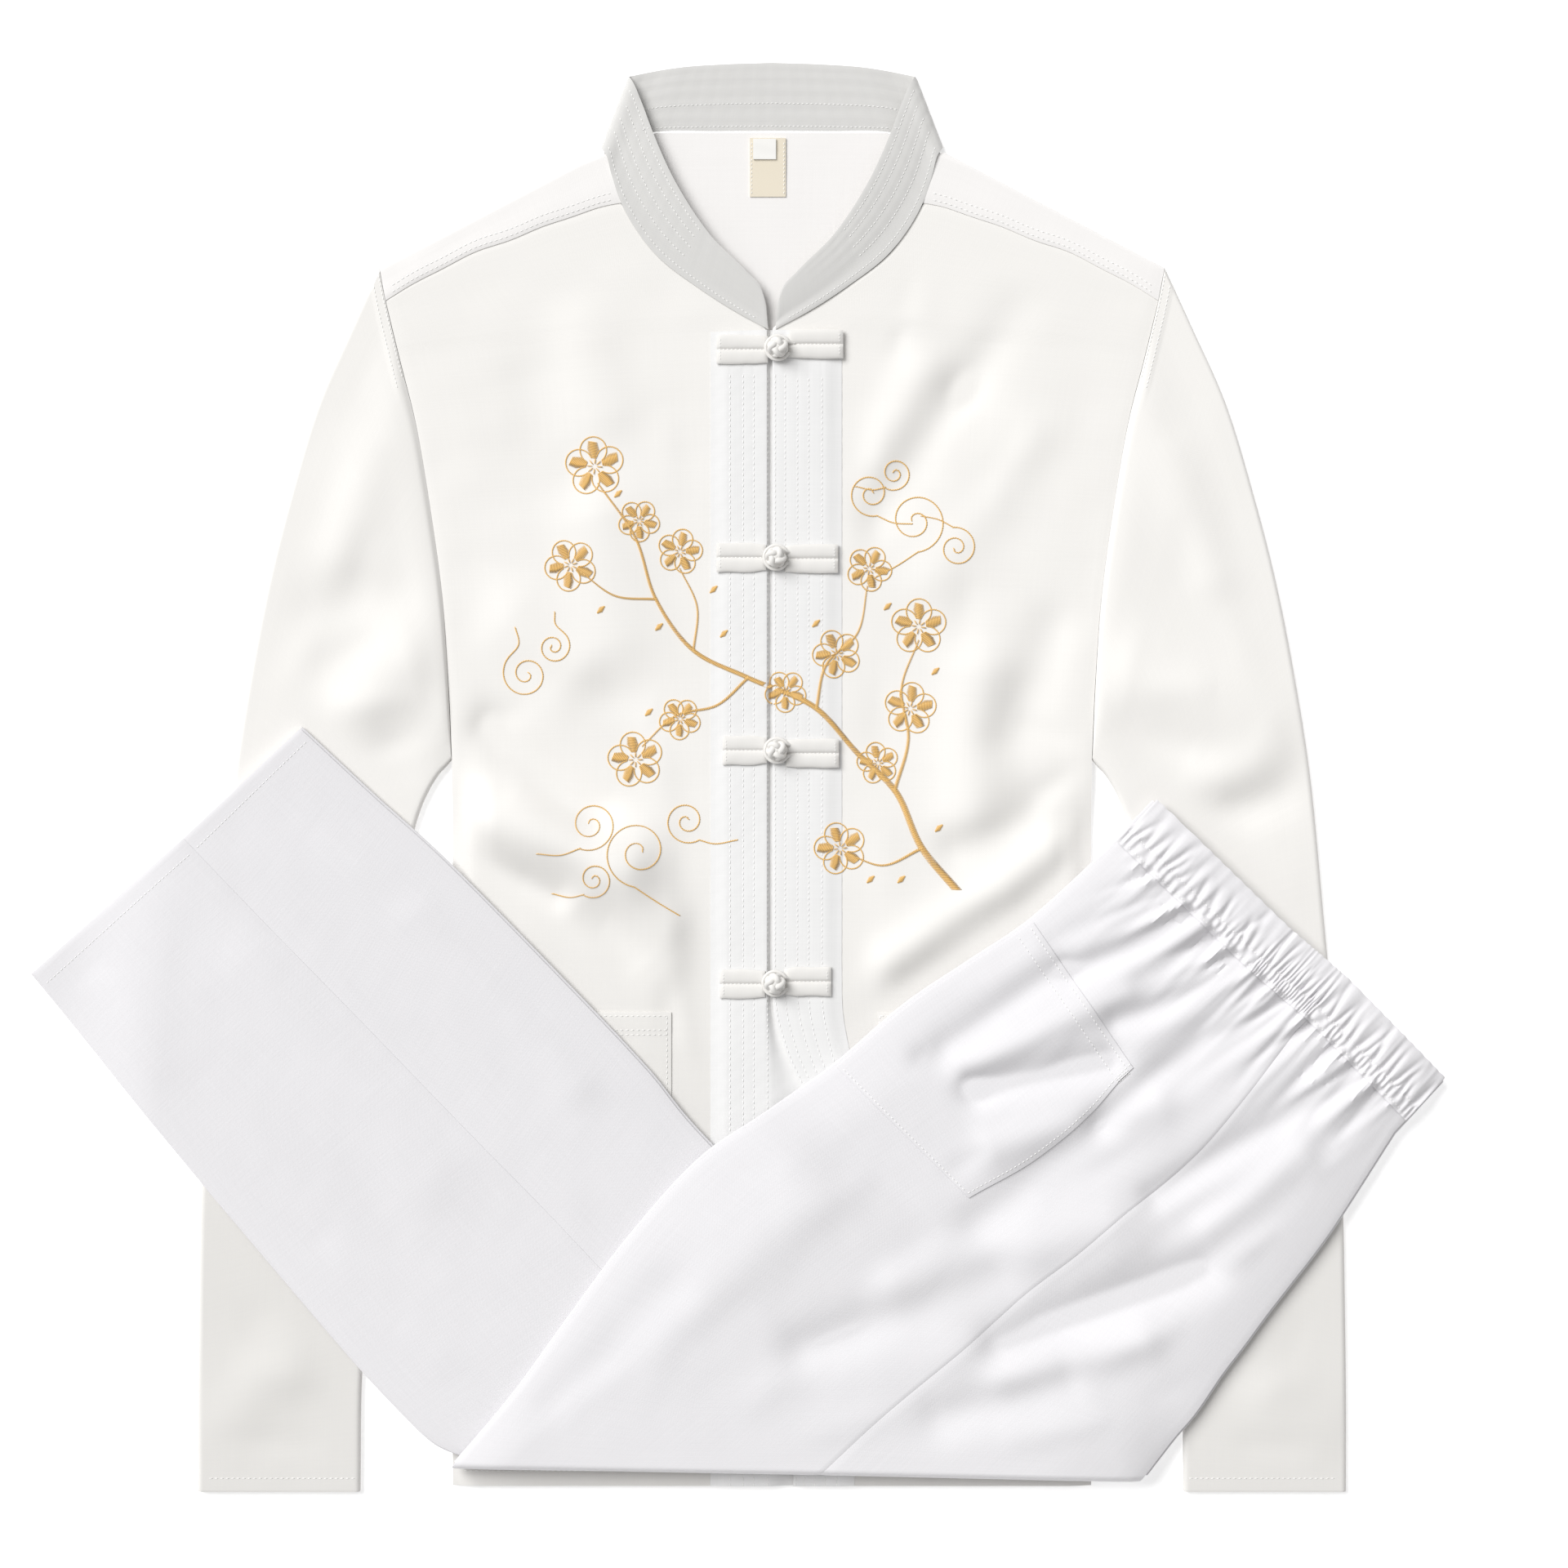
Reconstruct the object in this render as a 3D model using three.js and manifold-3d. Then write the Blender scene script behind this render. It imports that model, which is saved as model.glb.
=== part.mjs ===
// A tang suit laid flat, face up: a frog-fastened jacket with its folded trousers lying across it.
// Millimetres, +Z up, the surface it rests on at z = 0, +Y towards the collar. Sides are the wearer's,
// so the wearer's right front is at -X. Every piece of cloth is a wall with its own thickness.
import * as THREE from 'three';
import Module from 'manifold-3d';
import { mergeVertices } from 'three/addons/utils/BufferGeometryUtils.js';

const wasm = await Module();
wasm.setup();

// Driving sizes of the cloth and of how its layers lie
const cloth = 1.2;
const gap = 0.3;
const pitch = cloth + gap;
const seamHalf = gap / 2;
const legCloth = 1.5;
const centreX = 20;
const bodyHalf = 187.5;
const hemY = -416;
const armpitY = 10;
const neckY = 262;
const backLevel = 0;
const lapLevel = pitch;
const frontLevel = 3 * pitch;
const topLevel = 5 * pitch;
const frontTop = frontLevel + cloth;
const foldRadius = frontTop / 2;
const underlap = 30;
const lapSlope = 15;
const placketRightWidth = 36;
const placketLeftWidth = 41;
const sideRound = 14;
const shinThick = 5;
const thighThick = 7.5;
const shinPlane = topLevel + shinThick + gap + legCloth + gap;
const bandReach = 44;

// Distances over which a soft change happens: how far beside the trousers the jacket lies pressed flat,
// how their underside falls to the floor and from the shin, and where the folds of a front begin and end
const pressedNear = 26;
const pressedFar = 60;
const floorNear = 26;
const floorFar = 66;
const shinNear = 18;
const shinFar = 62;
const foldFade = 26;
const armholeFade = 34;
const shoulderFade = { chest: 14, upper: 19, yoke: 21, seam: 25.5 };

const linen = new THREE.MeshStandardMaterial({ color: 0xe9e6e0, roughness: 0.9, metalness: 0 });
const linenTrim = new THREE.MeshStandardMaterial({ color: 0xdfe0e2, roughness: 0.9, metalness: 0 });
const legLinen = new THREE.MeshStandardMaterial({ color: 0xe4e4e5, roughness: 0.9, metalness: 0 });
const tagWeave = new THREE.MeshStandardMaterial({ color: 0xe8dcc0, roughness: 0.8, metalness: 0 });

// Armhole line from the shoulder point down to the armpit, measured out from the centre front
const armhole = [
  { x: 230.4, y: 299.0 },
  { x: 226.6, y: 279.5 },
  { x: 218.4, y: 245.3 },
  { x: 208.8, y: 206.9 },
  { x: 200.6, y: 158.9 },
  { x: 193.4, y: 106.1 },
  { x: 189.6, y: 53.3 },
  { x: 187.7, y: armpitY },
];

// Front panel sections from hem to shoulder seam: where each leaves the centre or neck edge, where it
// meets the side (armhole is a place along the armhole line), how it bows, how far the lap swings open
const frontSections = [
  { innerX: 0, innerY: hemY, sideY: hemY, bow: 0, swing: 12 },
  { innerX: 0, innerY: -345, sideY: -345, bow: 0, swing: 16 },
  { innerX: 0, innerY: -277, sideY: -277, bow: 0, swing: 18 },
  { innerX: 0, innerY: -215, sideY: -215, bow: 0, swing: 18 },
  { innerX: 0, innerY: -185, sideY: -185, bow: 0, swing: 17.5 },
  { innerX: 0, innerY: -162, sideY: -162, bow: 0, swing: 8 },
  { innerX: 0, innerY: -138, sideY: -138, bow: 0, swing: 1 },
  { innerX: 0, innerY: -115, sideY: -115, bow: 0, swing: 0 },
  { innerX: 0, innerY: -90, sideY: -90, bow: 0, swing: 0 },
  { innerX: 0, innerY: -65, sideY: -65, bow: 0, swing: 0 },
  { innerX: 0, innerY: -42, sideY: -42, bow: 0, swing: 0 },
  { innerX: 0, innerY: -18, sideY: -18, bow: 0, swing: 0 },
  { innerX: 0, innerY: 8, armhole: 7, bow: 0, swing: 0 },
  { innerX: 0, innerY: 32, armhole: 6.5, bow: 0, swing: 0 },
  { innerX: 0, innerY: 57, armhole: 6, bow: 0, swing: 0 },
  { innerX: 0, innerY: 84, armhole: 5.5, bow: 0, swing: 0 },
  { innerX: 0, innerY: 111, armhole: 5, bow: 0, swing: 0 },
  { innerX: 0, innerY: 138, armhole: 4.5, bow: 0, swing: 0 },
  { innerX: 0, innerY: 166, armhole: 4, bow: 1, swing: 0 },
  { innerX: 0, innerY: 192, armhole: 3.5, bow: 1, swing: 0 },
  { innerX: 0, innerY: 216, armhole: 3, bow: 2, swing: 0 },
  { innerX: 0, innerY: 240, armhole: 2.5, bow: 2, swing: 0 },
  { innerX: 0, innerY: neckY, armhole: 2, bow: 3, swing: 0 },
  { innerX: 19.2, innerY: 271.7, armhole: 1.8, bow: 3, swing: 0 },
  { innerX: 45.6, innerY: 288.5, armhole: 1.5, bow: 4, swing: 0 },
  { innerX: 69.6, innerY: 307.7, armhole: 1.2, bow: 5, swing: 0 },
  { innerX: 88.8, innerY: 336.5, armhole: 1, bow: 6, swing: 0 },
];

// Folds of the jacket fronts and sleeves, each a soft line: its two ends, its half width and its rise
const jacketFolds = [
  { fromX: 144, fromY: 279, toX: 113, toY: 226, wide: 13, rise: -2.2 },
  { fromX: 113, fromY: 226, toX: 58, toY: 150, wide: 15, rise: -2.6 },
  { fromX: 88, fromY: 236, toX: 62, toY: 188, wide: 14, rise: 2.6 },
  { fromX: 150, fromY: 200, toX: 96, toY: 120, wide: 16, rise: 2.0 },
  { fromX: 166, fromY: 87, toX: 137, toY: 24, wide: 16, rise: -2.4 },
  { fromX: 122, fromY: 60, toX: 118, toY: -20, wide: 22, rise: 4.2 },
  { fromX: 166, fromY: -52, toX: 76, toY: -112, wide: 17, rise: 6.2 },
  { fromX: 150, fromY: -26, toX: 108, toY: -42, wide: 12, rise: -2.2 },
  { fromX: -168, fromY: 29, toX: -104, toY: -20, wide: 15, rise: -2.8 },
  { fromX: -168, fromY: -30, toX: -92, toY: -46, wide: 15, rise: 6.4 },
  { fromX: -150, fromY: 92, toX: -118, toY: 62, wide: 20, rise: 3.2 },
  { fromX: -104, fromY: 148, toX: -92, toY: 84, wide: 24, rise: 3.0 },
  { fromX: -84, fromY: -64, toX: -62, toY: -96, wide: 15, rise: 4.4 },
  { fromX: -140, fromY: 232, toX: -128, toY: 176, wide: 20, rise: -1.8 },
  { fromX: -112, fromY: 268, toX: -96, toY: 216, wide: 18, rise: 2.2 },
  { fromX: -212, fromY: 66, toX: -282, toY: 4, wide: 20, rise: 5.0 },
  { fromX: -216, fromY: 108, toX: -268, toY: 98, wide: 18, rise: -2.2 },
  { fromX: -232, fromY: 190, toX: -252, toY: 132, wide: 16, rise: 2.8 },
  { fromX: -236, fromY: -24, toX: -296, toY: -62, wide: 16, rise: 2.4 },
  { fromX: 208, fromY: 62, toX: 286, toY: 26, wide: 20, rise: 5.2 },
  { fromX: 226, fromY: -32, toX: 296, toY: -10, wide: 13, rise: -2.6 },
  { fromX: 232, fromY: 186, toX: 258, toY: 118, wide: 16, rise: 2.8 },
  { fromX: 246, fromY: -62, toX: 300, toY: -66, wide: 16, rise: 2.2 },
  { fromX: -262, fromY: -330, toX: -318, toY: -372, wide: 18, rise: 2.0 },
  { fromX: 268, fromY: -350, toX: 322, toY: -386, wide: 18, rise: 2.0 },
];

// Sleeve sections from armhole to cuff: the fold at the outer edge and the fold at the inner edge
const sleeveSections = [
  { outerX: 230.4, outerY: 299.0, innerX: 187.7, innerY: armpitY, high: frontTop },
  { outerX: 246.2, outerY: 264.5, innerX: 191.0, innerY: 6, high: 5.9 },
  { outerX: 266.4, outerY: 218.9, innerX: 195.5, innerY: 1, high: 6.3 },
  { outerX: 283.2, outerY: 163.7, innerX: 200.5, innerY: -7, high: 6.5 },
  { outerX: 296.6, outerY: 110.9, innerX: 205.5, innerY: -18, high: 6.5 },
  { outerX: 308.2, outerY: 50.9, innerX: 210.0, innerY: -33, high: 6.3 },
  { outerX: 316.8, outerY: -6.7, innerX: 214.0, innerY: -58, high: 6.0 },
  { outerX: 324.0, outerY: -83.5, innerX: 218.0, innerY: -105, high: 6.0 },
  { outerX: 331.2, outerY: -162.7, innerX: 223.5, innerY: -160, high: 6.0 },
  { outerX: 335.0, outerY: -241.9, innerX: 230.0, innerY: -222, high: 6.0 },
  { outerX: 336.5, outerY: -320, innerX: 236.5, innerY: -293, high: 6.0 },
  { outerX: 337.0, outerY: -370, innerX: 240.5, innerY: -352, high: 6.0 },
  { outerX: 337.0, outerY: -410, innerX: 241.3, innerY: -406, high: 5.8 },
  { outerX: 337.0, outerY: -419.5, innerX: 241.4, innerY: -419.5, high: 5.6 },
];

// The collar band from the front tip to the side fold and on to the centre back: neck seam and top edge
const collarSections = [
  { seamX: 2.3, seamY: 263.2, seamZ: 5.1, topX: 3.4, topY: 277.0, topZ: 7.0 },
  { seamX: 6.0, seamY: 265.2, seamZ: 5.1, topX: 5.6, topY: 285.0, topZ: 7.6 },
  { seamX: 19.0, seamY: 272.3, seamZ: 5.1, topX: 14.4, topY: 295.7, topZ: 8.2 },
  { seamX: 45.3, seamY: 289.2, seamZ: 5.1, topX: 36.0, topY: 317.3, topZ: 8.6 },
  { seamX: 69.2, seamY: 308.4, seamZ: 5.1, topX: 55.2, topY: 346.1, topZ: 8.8 },
  { seamX: 88.0, seamY: 337.0, seamZ: 5.1, topX: 69.6, topY: 377.3, topZ: 7.6 },
  { seamX: 93.8, seamY: 354.0, seamZ: 5.1, topX: 76.6, topY: 396.0, topZ: 6.2 },
  { seamX: 97.6, seamY: 366.6, seamZ: 5.1, topX: 82.0, topY: 408.2, topZ: 5.2 },
  { seamX: 99.2, seamY: 368.8, seamZ: 4.2, topX: 83.4, topY: 410.2, topZ: 4.3 },
  { seamX: 99.8, seamY: 369.8, seamZ: 2.8, topX: 84.0, topY: 411.0, topZ: 2.8 },
  { seamX: 99.0, seamY: 370.2, seamZ: 1.4, topX: 83.2, topY: 411.4, topZ: 1.4 },
  { seamX: 95.0, seamY: 371.6, seamZ: 0.6, topX: 79.0, topY: 412.4, topZ: 0.6 },
  { seamX: 68.2, seamY: 379.0, seamZ: 0.6, topX: 55.2, topY: 416.6, topZ: 0.6 },
  { seamX: 34.0, seamY: 379.6, seamZ: 0.6, topX: 28.0, topY: 418.6, topZ: 0.6 },
  { seamX: 0.0, seamY: 379.8, seamZ: 0.6, topX: 0.0, topY: 419.5, topZ: 0.6 },
];
const collarAcross = [0, 0.3, 0.65, 1];

// The four frogs from neck to waist: heights of the leg with the knot, the leg with the loop, the knot
const frogs = [
  { knotLegY: 250.3, knotLegLong: 30, loopLegY: 253.4, loopLegLong: 33, knotX: 3.4, knotY: 251.2 },
  { knotLegY: 128.4, knotLegLong: 29, loopLegY: 127.7, loopLegLong: 31, knotX: 2.4, knotY: 128.4 },
  { knotLegY: 15.4, knotLegLong: 26, loopLegY: 13.7, loopLegLong: 31, knotX: 2.9, knotY: 15.4 },
  { knotLegY: -121.5, knotLegLong: 26.5, loopLegY: -120.0, loopLegLong: 27.5, knotX: 1.8, knotY: -121.0 },
];
const frogWidth = 17;
const frogThick = 2.4;
const frogCorner = 1.6;
const knotLegThick = frogThick - 2 * gap;
const knotRadius = 6.2;
const knotHalfHeight = 5.4;
const loopCord = 2.2;
const cordSides = 5;

// Leg sections across the folded trousers. Thigh: waist seam to knee fold, from the front fold over the
// pocket edge and the outseam to the back fold. Shin: hem to knee fold.
const thighSections = [
  { foldX: 215, foldY: -45, pocketX: 291, pocketY: -119, seamX: 326, seamY: -149, backX: 384, backY: -208 },
  { foldX: 172, foldY: -84, pocketX: 231, pocketY: -170, seamX: 292, seamY: -193, backX: 352, backY: -258 },
  { foldX: 135, foldY: -109, pocketX: 205, pocketY: -198, seamX: 270, seamY: -219, backX: 338, backY: -278 },
  { foldX: 98, foldY: -134, pocketX: 172, pocketY: -225, seamX: 247, seamY: -240, backX: 324, backY: -296 },
  { foldX: 57, foldY: -169, pocketX: 135, pocketY: -246, seamX: 224, seamY: -257, backX: 310, backY: -314 },
  { foldX: 20, foldY: -195, pocketX: 105, pocketY: -266, seamX: 197, seamY: -280, backX: 296, backY: -333 },
  { foldX: -21, foldY: -223, pocketX: 72, pocketY: -287, seamX: 171, seamY: -300, backX: 283, backY: -350 },
  { foldX: -62, foldY: -268, pocketX: 36, pocketY: -316, seamX: 142, seamY: -325, backX: 268, backY: -372 },
  { foldX: -98, foldY: -316, pocketX: -2, pocketY: -348, seamX: 112, seamY: -350, backX: 255, backY: -387 },
  { foldX: -130, foldY: -360, pocketX: -38, pocketY: -377, seamX: 82, seamY: -375, backX: 246, backY: -398 },
  { foldX: -164, foldY: -400, pocketX: -68, pocketY: -402, seamX: 51, seamY: -404, backX: 238, backY: -408 },
];
const pocketFromSection = 1;
const pocketToSection = 4;
const shinSections = [
  { foldX: -414, foldY: -115, seamX: -324, seamY: -36, backX: -256, backY: 28 },
  { foldX: -366, foldY: -173, seamX: -275, seamY: -87, backX: -213, backY: -12 },
  { foldX: -318, foldY: -231, seamX: -222, seamY: -141, backX: -170, backY: -51 },
  { foldX: -270, foldY: -288, seamX: -165, seamY: -200, backX: -107, backY: -115 },
  { foldX: -222, foldY: -344, seamX: -114, seamY: -252, backX: -54, backY: -171 },
  { foldX: -194, foldY: -374, seamX: -76, seamY: -292, backX: -16, backY: -216 },
  { foldX: -177, foldY: -390, seamX: -30, seamY: -340, backX: 94, backY: -324 },
  { foldX: -163, foldY: -397, seamX: 22, seamY: -399, backX: 205, backY: -402 },
];

// Folds of the trousers, in the same columns as the jacket's
const thighFolds = [
  { fromX: 244, fromY: -62, toX: 183, toY: -94, wide: 7, rise: -3.2 },
  { fromX: 267, fromY: -87, toX: 196, toY: -113, wide: 8, rise: -4.6 },
  { fromX: 188, fromY: -112, toX: 122, toY: -156, wide: 10, rise: -4.4 },
  { fromX: 216, fromY: -166, toX: 140, toY: -182, wide: 11, rise: -5.6 },
  { fromX: 140, fromY: -182, toX: 108, toY: -164, wide: 9, rise: -3.6 },
  { fromX: 290, fromY: -118, toX: 221, toY: -143, wide: 8, rise: -4.2 },
  { fromX: 288, fromY: -140, toX: 211, toY: -203, wide: 9, rise: -4.8 },
  { fromX: 211, fromY: -203, toX: 140, toY: -262, wide: 13, rise: -3.4 },
  { fromX: 336, fromY: -188, toX: 244, toY: -245, wide: 9, rise: -4.2 },
  { fromX: 150, fromY: -288, toX: 40, toY: -334, wide: 15, rise: -4.6 },
  { fromX: 272, fromY: -288, toX: 152, toY: -331, wide: 13, rise: -6.0 },
  { fromX: 190, fromY: -352, toX: 118, toY: -374, wide: 13, rise: -3.6 },
  { fromX: 226, fromY: -126, toX: 132, toY: -172, wide: 9, rise: 3.4 },
  { fromX: 244, fromY: -190, toX: 150, toY: -216, wide: 12, rise: 3.6 },
  { fromX: 216, fromY: -262, toX: 96, toY: -300, wide: 17, rise: 4.4 },
  { fromX: 236, fromY: -330, toX: 156, toY: -352, wide: 12, rise: 3.2 },
  { fromX: 34, fromY: -250, toX: -44, toY: -330, wide: 22, rise: 3.2 },
  { fromX: 330, fromY: -222, toX: 276, toY: -262, wide: 10, rise: 2.8 },
  { fromX: -40, fromY: -300, toX: -108, toY: -362, wide: 18, rise: -2.4 },
];
const shinFolds = [
  { fromX: -284, fromY: -110, toX: -180, toY: -230, wide: 24, rise: 2.4 },
  { fromX: -186, fromY: -84, toX: -96, toY: -180, wide: 14, rise: 1.8 },
  { fromX: -330, fromY: -190, toX: -250, toY: -270, wide: 16, rise: -1.6 },
];

// Waistband: the elastic channel next to the waist seam and the ruffle that stands beyond it
const bandRows = [
  { out: 0, sway: 0.5 },
  { out: 16, sway: 0.8 },
  { out: 31, sway: 1.7 },
  { out: bandReach, sway: 2.1 },
];
const bandGathers = 34;
const gatherSteps = [0, 1, 0, -1];
const bandThick = 1.6;
const bandOutX = 0.69;
const bandOutY = 0.72;
const bandClear = 0.5;

const lerp = (a, b, t) => a + (b - a) * t;
const smooth = (low, high, value) => {
  const t = Math.min(1, Math.max(0, (value - low) / (high - low)));
  return t * t * (3 - 2 * t);
};

// How far a point is from the line between two ends
function lineDistance(x, y, fromX, fromY, toX, toY) {
  const dx = toX - fromX;
  const dy = toY - fromY;
  const t = Math.min(1, Math.max(0, ((x - fromX) * dx + (y - fromY) * dy) / (dx * dx + dy * dy)));
  return Math.hypot(x - fromX - t * dx, y - fromY - t * dy);
}

// The sum of all folds at a point, each a soft bell across its line
function foldHeight(folds, x, y) {
  return folds.reduce((sum, fold) => {
    const away = lineDistance(x, y, fold.fromX, fold.fromY, fold.toX, fold.toY) / fold.wide;
    return sum + fold.rise * Math.exp(-away * away);
  }, 0);
}

// A named column of a table of sections read at a place between rows, along a smooth curve
function column(sections, key, place) {
  const last = sections.length - 1;
  const i = Math.min(last - 1, Math.max(0, Math.floor(place)));
  const t = place - i;
  const at = (k) => sections[Math.min(last, Math.max(0, k))][key];
  const [a, b, c, d] = [at(i - 1), at(i), at(i + 1), at(i + 2)];
  return b + 0.5 * t * (c - a + t * (2 * a - 5 * b + 4 * c - d + t * (3 * (b - c) + d - a)));
}

// Distance outside a closed outline, 0 inside it
function outsideDistance(outline, x, y) {
  let inside = false;
  let nearest = Infinity;
  outline.forEach((a, i) => {
    const b = outline[(i + 1) % outline.length];
    if ((a.y > y) !== (b.y > y) && x < ((b.x - a.x) * (y - a.y)) / (b.y - a.y) + a.x) inside = !inside;
    nearest = Math.min(nearest, lineDistance(x, y, a.x, a.y, b.x, b.y));
  });
  return inside ? 0 : nearest;
}

const railOf = (sections, name) => sections.map((row) => ({ x: row[`${name}X`], y: row[`${name}Y`] }));
const [waistRow] = thighSections;
const bandCorners = [
  { x: waistRow.foldX + bandReach * bandOutX, y: waistRow.foldY + bandReach * bandOutY },
  { x: waistRow.backX + bandReach * bandOutX, y: waistRow.backY + bandReach * bandOutY },
];
const shinOutline = [...railOf(shinSections, 'fold'), ...railOf(shinSections, 'back').reverse()];
const thighOutline = [...railOf(thighSections, 'fold'), ...railOf(thighSections, 'back').reverse(),
  bandCorners[1], bandCorners[0]];

// 1 where the trousers lie on the jacket and just beside them, 0 away from them
const coverAt = (x, y) => {
  const away = Math.min(outsideDistance(shinOutline, x, y), outsideDistance(thighOutline, x, y));
  return 1 - smooth(pressedNear, pressedFar, away);
};

// The plane that the trousers rest on: the top of the jacket, falling to the floor beyond its sleeves
function jacketSupport(x, y) {
  const rows = sleeveSections;
  const i = Math.max(1, rows.findIndex((row) => row.outerY <= y));
  const t = Math.min(1, Math.max(0, (rows[i - 1].outerY - y) / (rows[i - 1].outerY - rows[i].outerY)));
  const outside = Math.abs(x - centreX) - lerp(rows[i - 1].outerX, rows[i].outerX, t);
  return topLevel * (1 - smooth(floorNear, floorFar, outside));
}
const thighSupport = (x, y) => lerp(jacketSupport(x, y), shinPlane,
  1 - smooth(shinNear, shinFar, outsideDistance(shinOutline, x, y)));

// A closed mesh from points and faces, turned the right way out
function solid(points, faces) {
  const volume = faces.reduce((sum, [a, b, c]) =>
    sum + points[a].dot(new THREE.Vector3().crossVectors(points[b], points[c])), 0);
  const geometry = new THREE.BufferGeometry();
  geometry.setAttribute('position', new THREE.Float32BufferAttribute(points.flatMap((p) => p.toArray()), 3));
  geometry.setIndex(faces.flatMap(([a, b, c]) => (volume < 0 ? [a, c, b] : [a, b, c])));
  return geometry;
}

// A wall between two grids of points. A closed wall joins its last column to its first, as on a tube,
// and keep says which cells of the grid are cloth.
function wall(outer, inner, { closed = false, keep = () => true } = {}) {
  const rows = outer.length;
  const columns = outer[0].length;
  const points = [...outer.flat(), ...inner.flat()];
  const span = closed ? columns : columns - 1;
  const at = (side, i, j) => side * rows * columns + i * columns + (j % columns);
  const has = (i, j) => {
    if (i < 0 || i >= rows - 1) return false;
    const k = closed ? (j + columns) % columns : j;
    return k >= 0 && k < span && keep(i, k);
  };
  const faces = [];
  const quad = (a, b, c, d) => faces.push([a, b, c], [a, c, d]);
  for (let i = 0; i < rows - 1; i += 1) {
    for (let j = 0; j < span; j += 1) {
      if (!has(i, j)) continue;
      quad(at(0, i, j), at(0, i, j + 1), at(0, i + 1, j + 1), at(0, i + 1, j));
      quad(at(1, i, j), at(1, i + 1, j), at(1, i + 1, j + 1), at(1, i, j + 1));
      if (!has(i - 1, j)) quad(at(1, i, j), at(1, i, j + 1), at(0, i, j + 1), at(0, i, j));
      if (!has(i + 1, j)) quad(at(0, i + 1, j), at(0, i + 1, j + 1), at(1, i + 1, j + 1), at(1, i + 1, j));
      if (!has(i, j - 1)) quad(at(0, i, j), at(0, i + 1, j), at(1, i + 1, j), at(1, i, j));
      if (!has(i, j + 1)) quad(at(1, i, j + 1), at(1, i + 1, j + 1), at(0, i + 1, j + 1), at(0, i, j + 1));
    }
  }
  const used = [...new Set(faces.flat())];
  const place = new Map(used.map((from, to) => [from, to]));
  return solid(used.map((k) => points[k]), faces.map((face) => face.map((k) => place.get(k))));
}

// A rounded solid lofted through closed rings, with its two ends capped
function loft(rings) {
  const count = rings[0].length;
  const faces = [];
  for (let i = 0; i < rings.length - 1; i += 1) {
    for (let j = 0; j < count; j += 1) {
      const k = (j + 1) % count;
      faces.push([i * count + j, i * count + k, (i + 1) * count + k],
        [i * count + j, (i + 1) * count + k, (i + 1) * count + j]);
    }
  }
  const turned = THREE.ShapeUtils.isClockWise(ringFlat(rings[0]));
  const cap = (ring, start, flip) => {
    const flat = ringFlat(ring);
    THREE.ShapeUtils.triangulateShape(flat, []).forEach(([a, b, c]) => {
      const turn = THREE.ShapeUtils.isClockWise([flat[a], flat[b], flat[c]]) !== flip;
      faces.push(turn ? [start + a, start + b, start + c] : [start + a, start + c, start + b]);
    });
  };
  cap(rings[0], 0, turned);
  cap(rings[rings.length - 1], (rings.length - 1) * count, !turned);
  return solid(rings.flat(), faces);
}

// A ring seen square on, as a flat outline
function ringFlat(ring) {
  const along = ring[Math.floor(ring.length / 2)].clone().sub(ring[0]).setZ(0).normalize();
  return ring.map((p) => new THREE.Vector2(p.x * along.x + p.y * along.y, p.z));
}

const suit = new THREE.Group();
function addPiece(name, geometry, material) {
  const mesh = new THREE.Mesh(geometry, material);
  mesh.name = name;
  suit.add(mesh);
}

// Places along the armhole line, where 0 is the shoulder point and 7 the armpit
function armholePoint(place) {
  const i = Math.min(armhole.length - 2, Math.floor(place));
  const t = place - i;
  return { x: lerp(armhole[i].x, armhole[i + 1].x, t), y: lerp(armhole[i].y, armhole[i + 1].y, t) };
}

// Front panels. Columns are counted out from the centre front line, negative on the underlap.
const frontColumns = {
  right: [-underlap, 1, lapSlope, placketRightWidth, 59, 82, 106, 129, 152, 174, 183, bodyHalf],
  left: [0, 20, placketLeftWidth, 61, 84, 107, 130, 152, 174, 183, bodyHalf],
};
// Where the columns meet the neck edge and the shoulder seam, as shares of the way out to the armhole
const seamShares = [0, 0.12, 0.25, 0.37, 0.5, 0.62, 0.75, 0.84, 0.92, 0.96, 1];

// How far a seam bows from a straight line, kept straight between its quarter points
function bowAt(share) {
  const quarter = Math.min(3, Math.floor(share * 4));
  const arch = (s) => 4 * s * (1 - s);
  return lerp(arch(quarter / 4), arch((quarter + 1) / 4), share * 4 - quarter);
}

// Height of a front panel's underside: flat on the placket, folded beyond it, down to the back at the side
function frontUnderside(side, outward, sideX, row, x, y) {
  const placket = side === 'right' ? placketRightWidth : placketLeftWidth;
  const above = smooth(shoulderFade.chest, shoulderFade.upper, row);
  const atSide = lerp(smooth(0, foldFade, sideX - outward), smooth(4, armholeFade, sideX - outward), above);
  const clear = smooth(placket, placket + foldFade, outward) * atSide
    * (1 - smooth(shoulderFade.yoke, shoulderFade.seam, row));
  const relief = foldHeight(jacketFolds, x, y) * clear * (1 - coverAt(x + centreX, y));
  const lap = side === 'right' ? 1 - smooth(1, lapSlope, outward) : 0;
  const open = y < armpitY - 20 ? smooth(sideRound, 0, sideX - outward) : 0;
  return lerp(frontLevel + Math.max(relief, lapLevel - frontLevel), lapLevel, Math.max(lap, open));
}

// The right front has one more column, which is its underlap
const lapColumns = (side) => frontColumns[side].length - seamShares.length;

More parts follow.
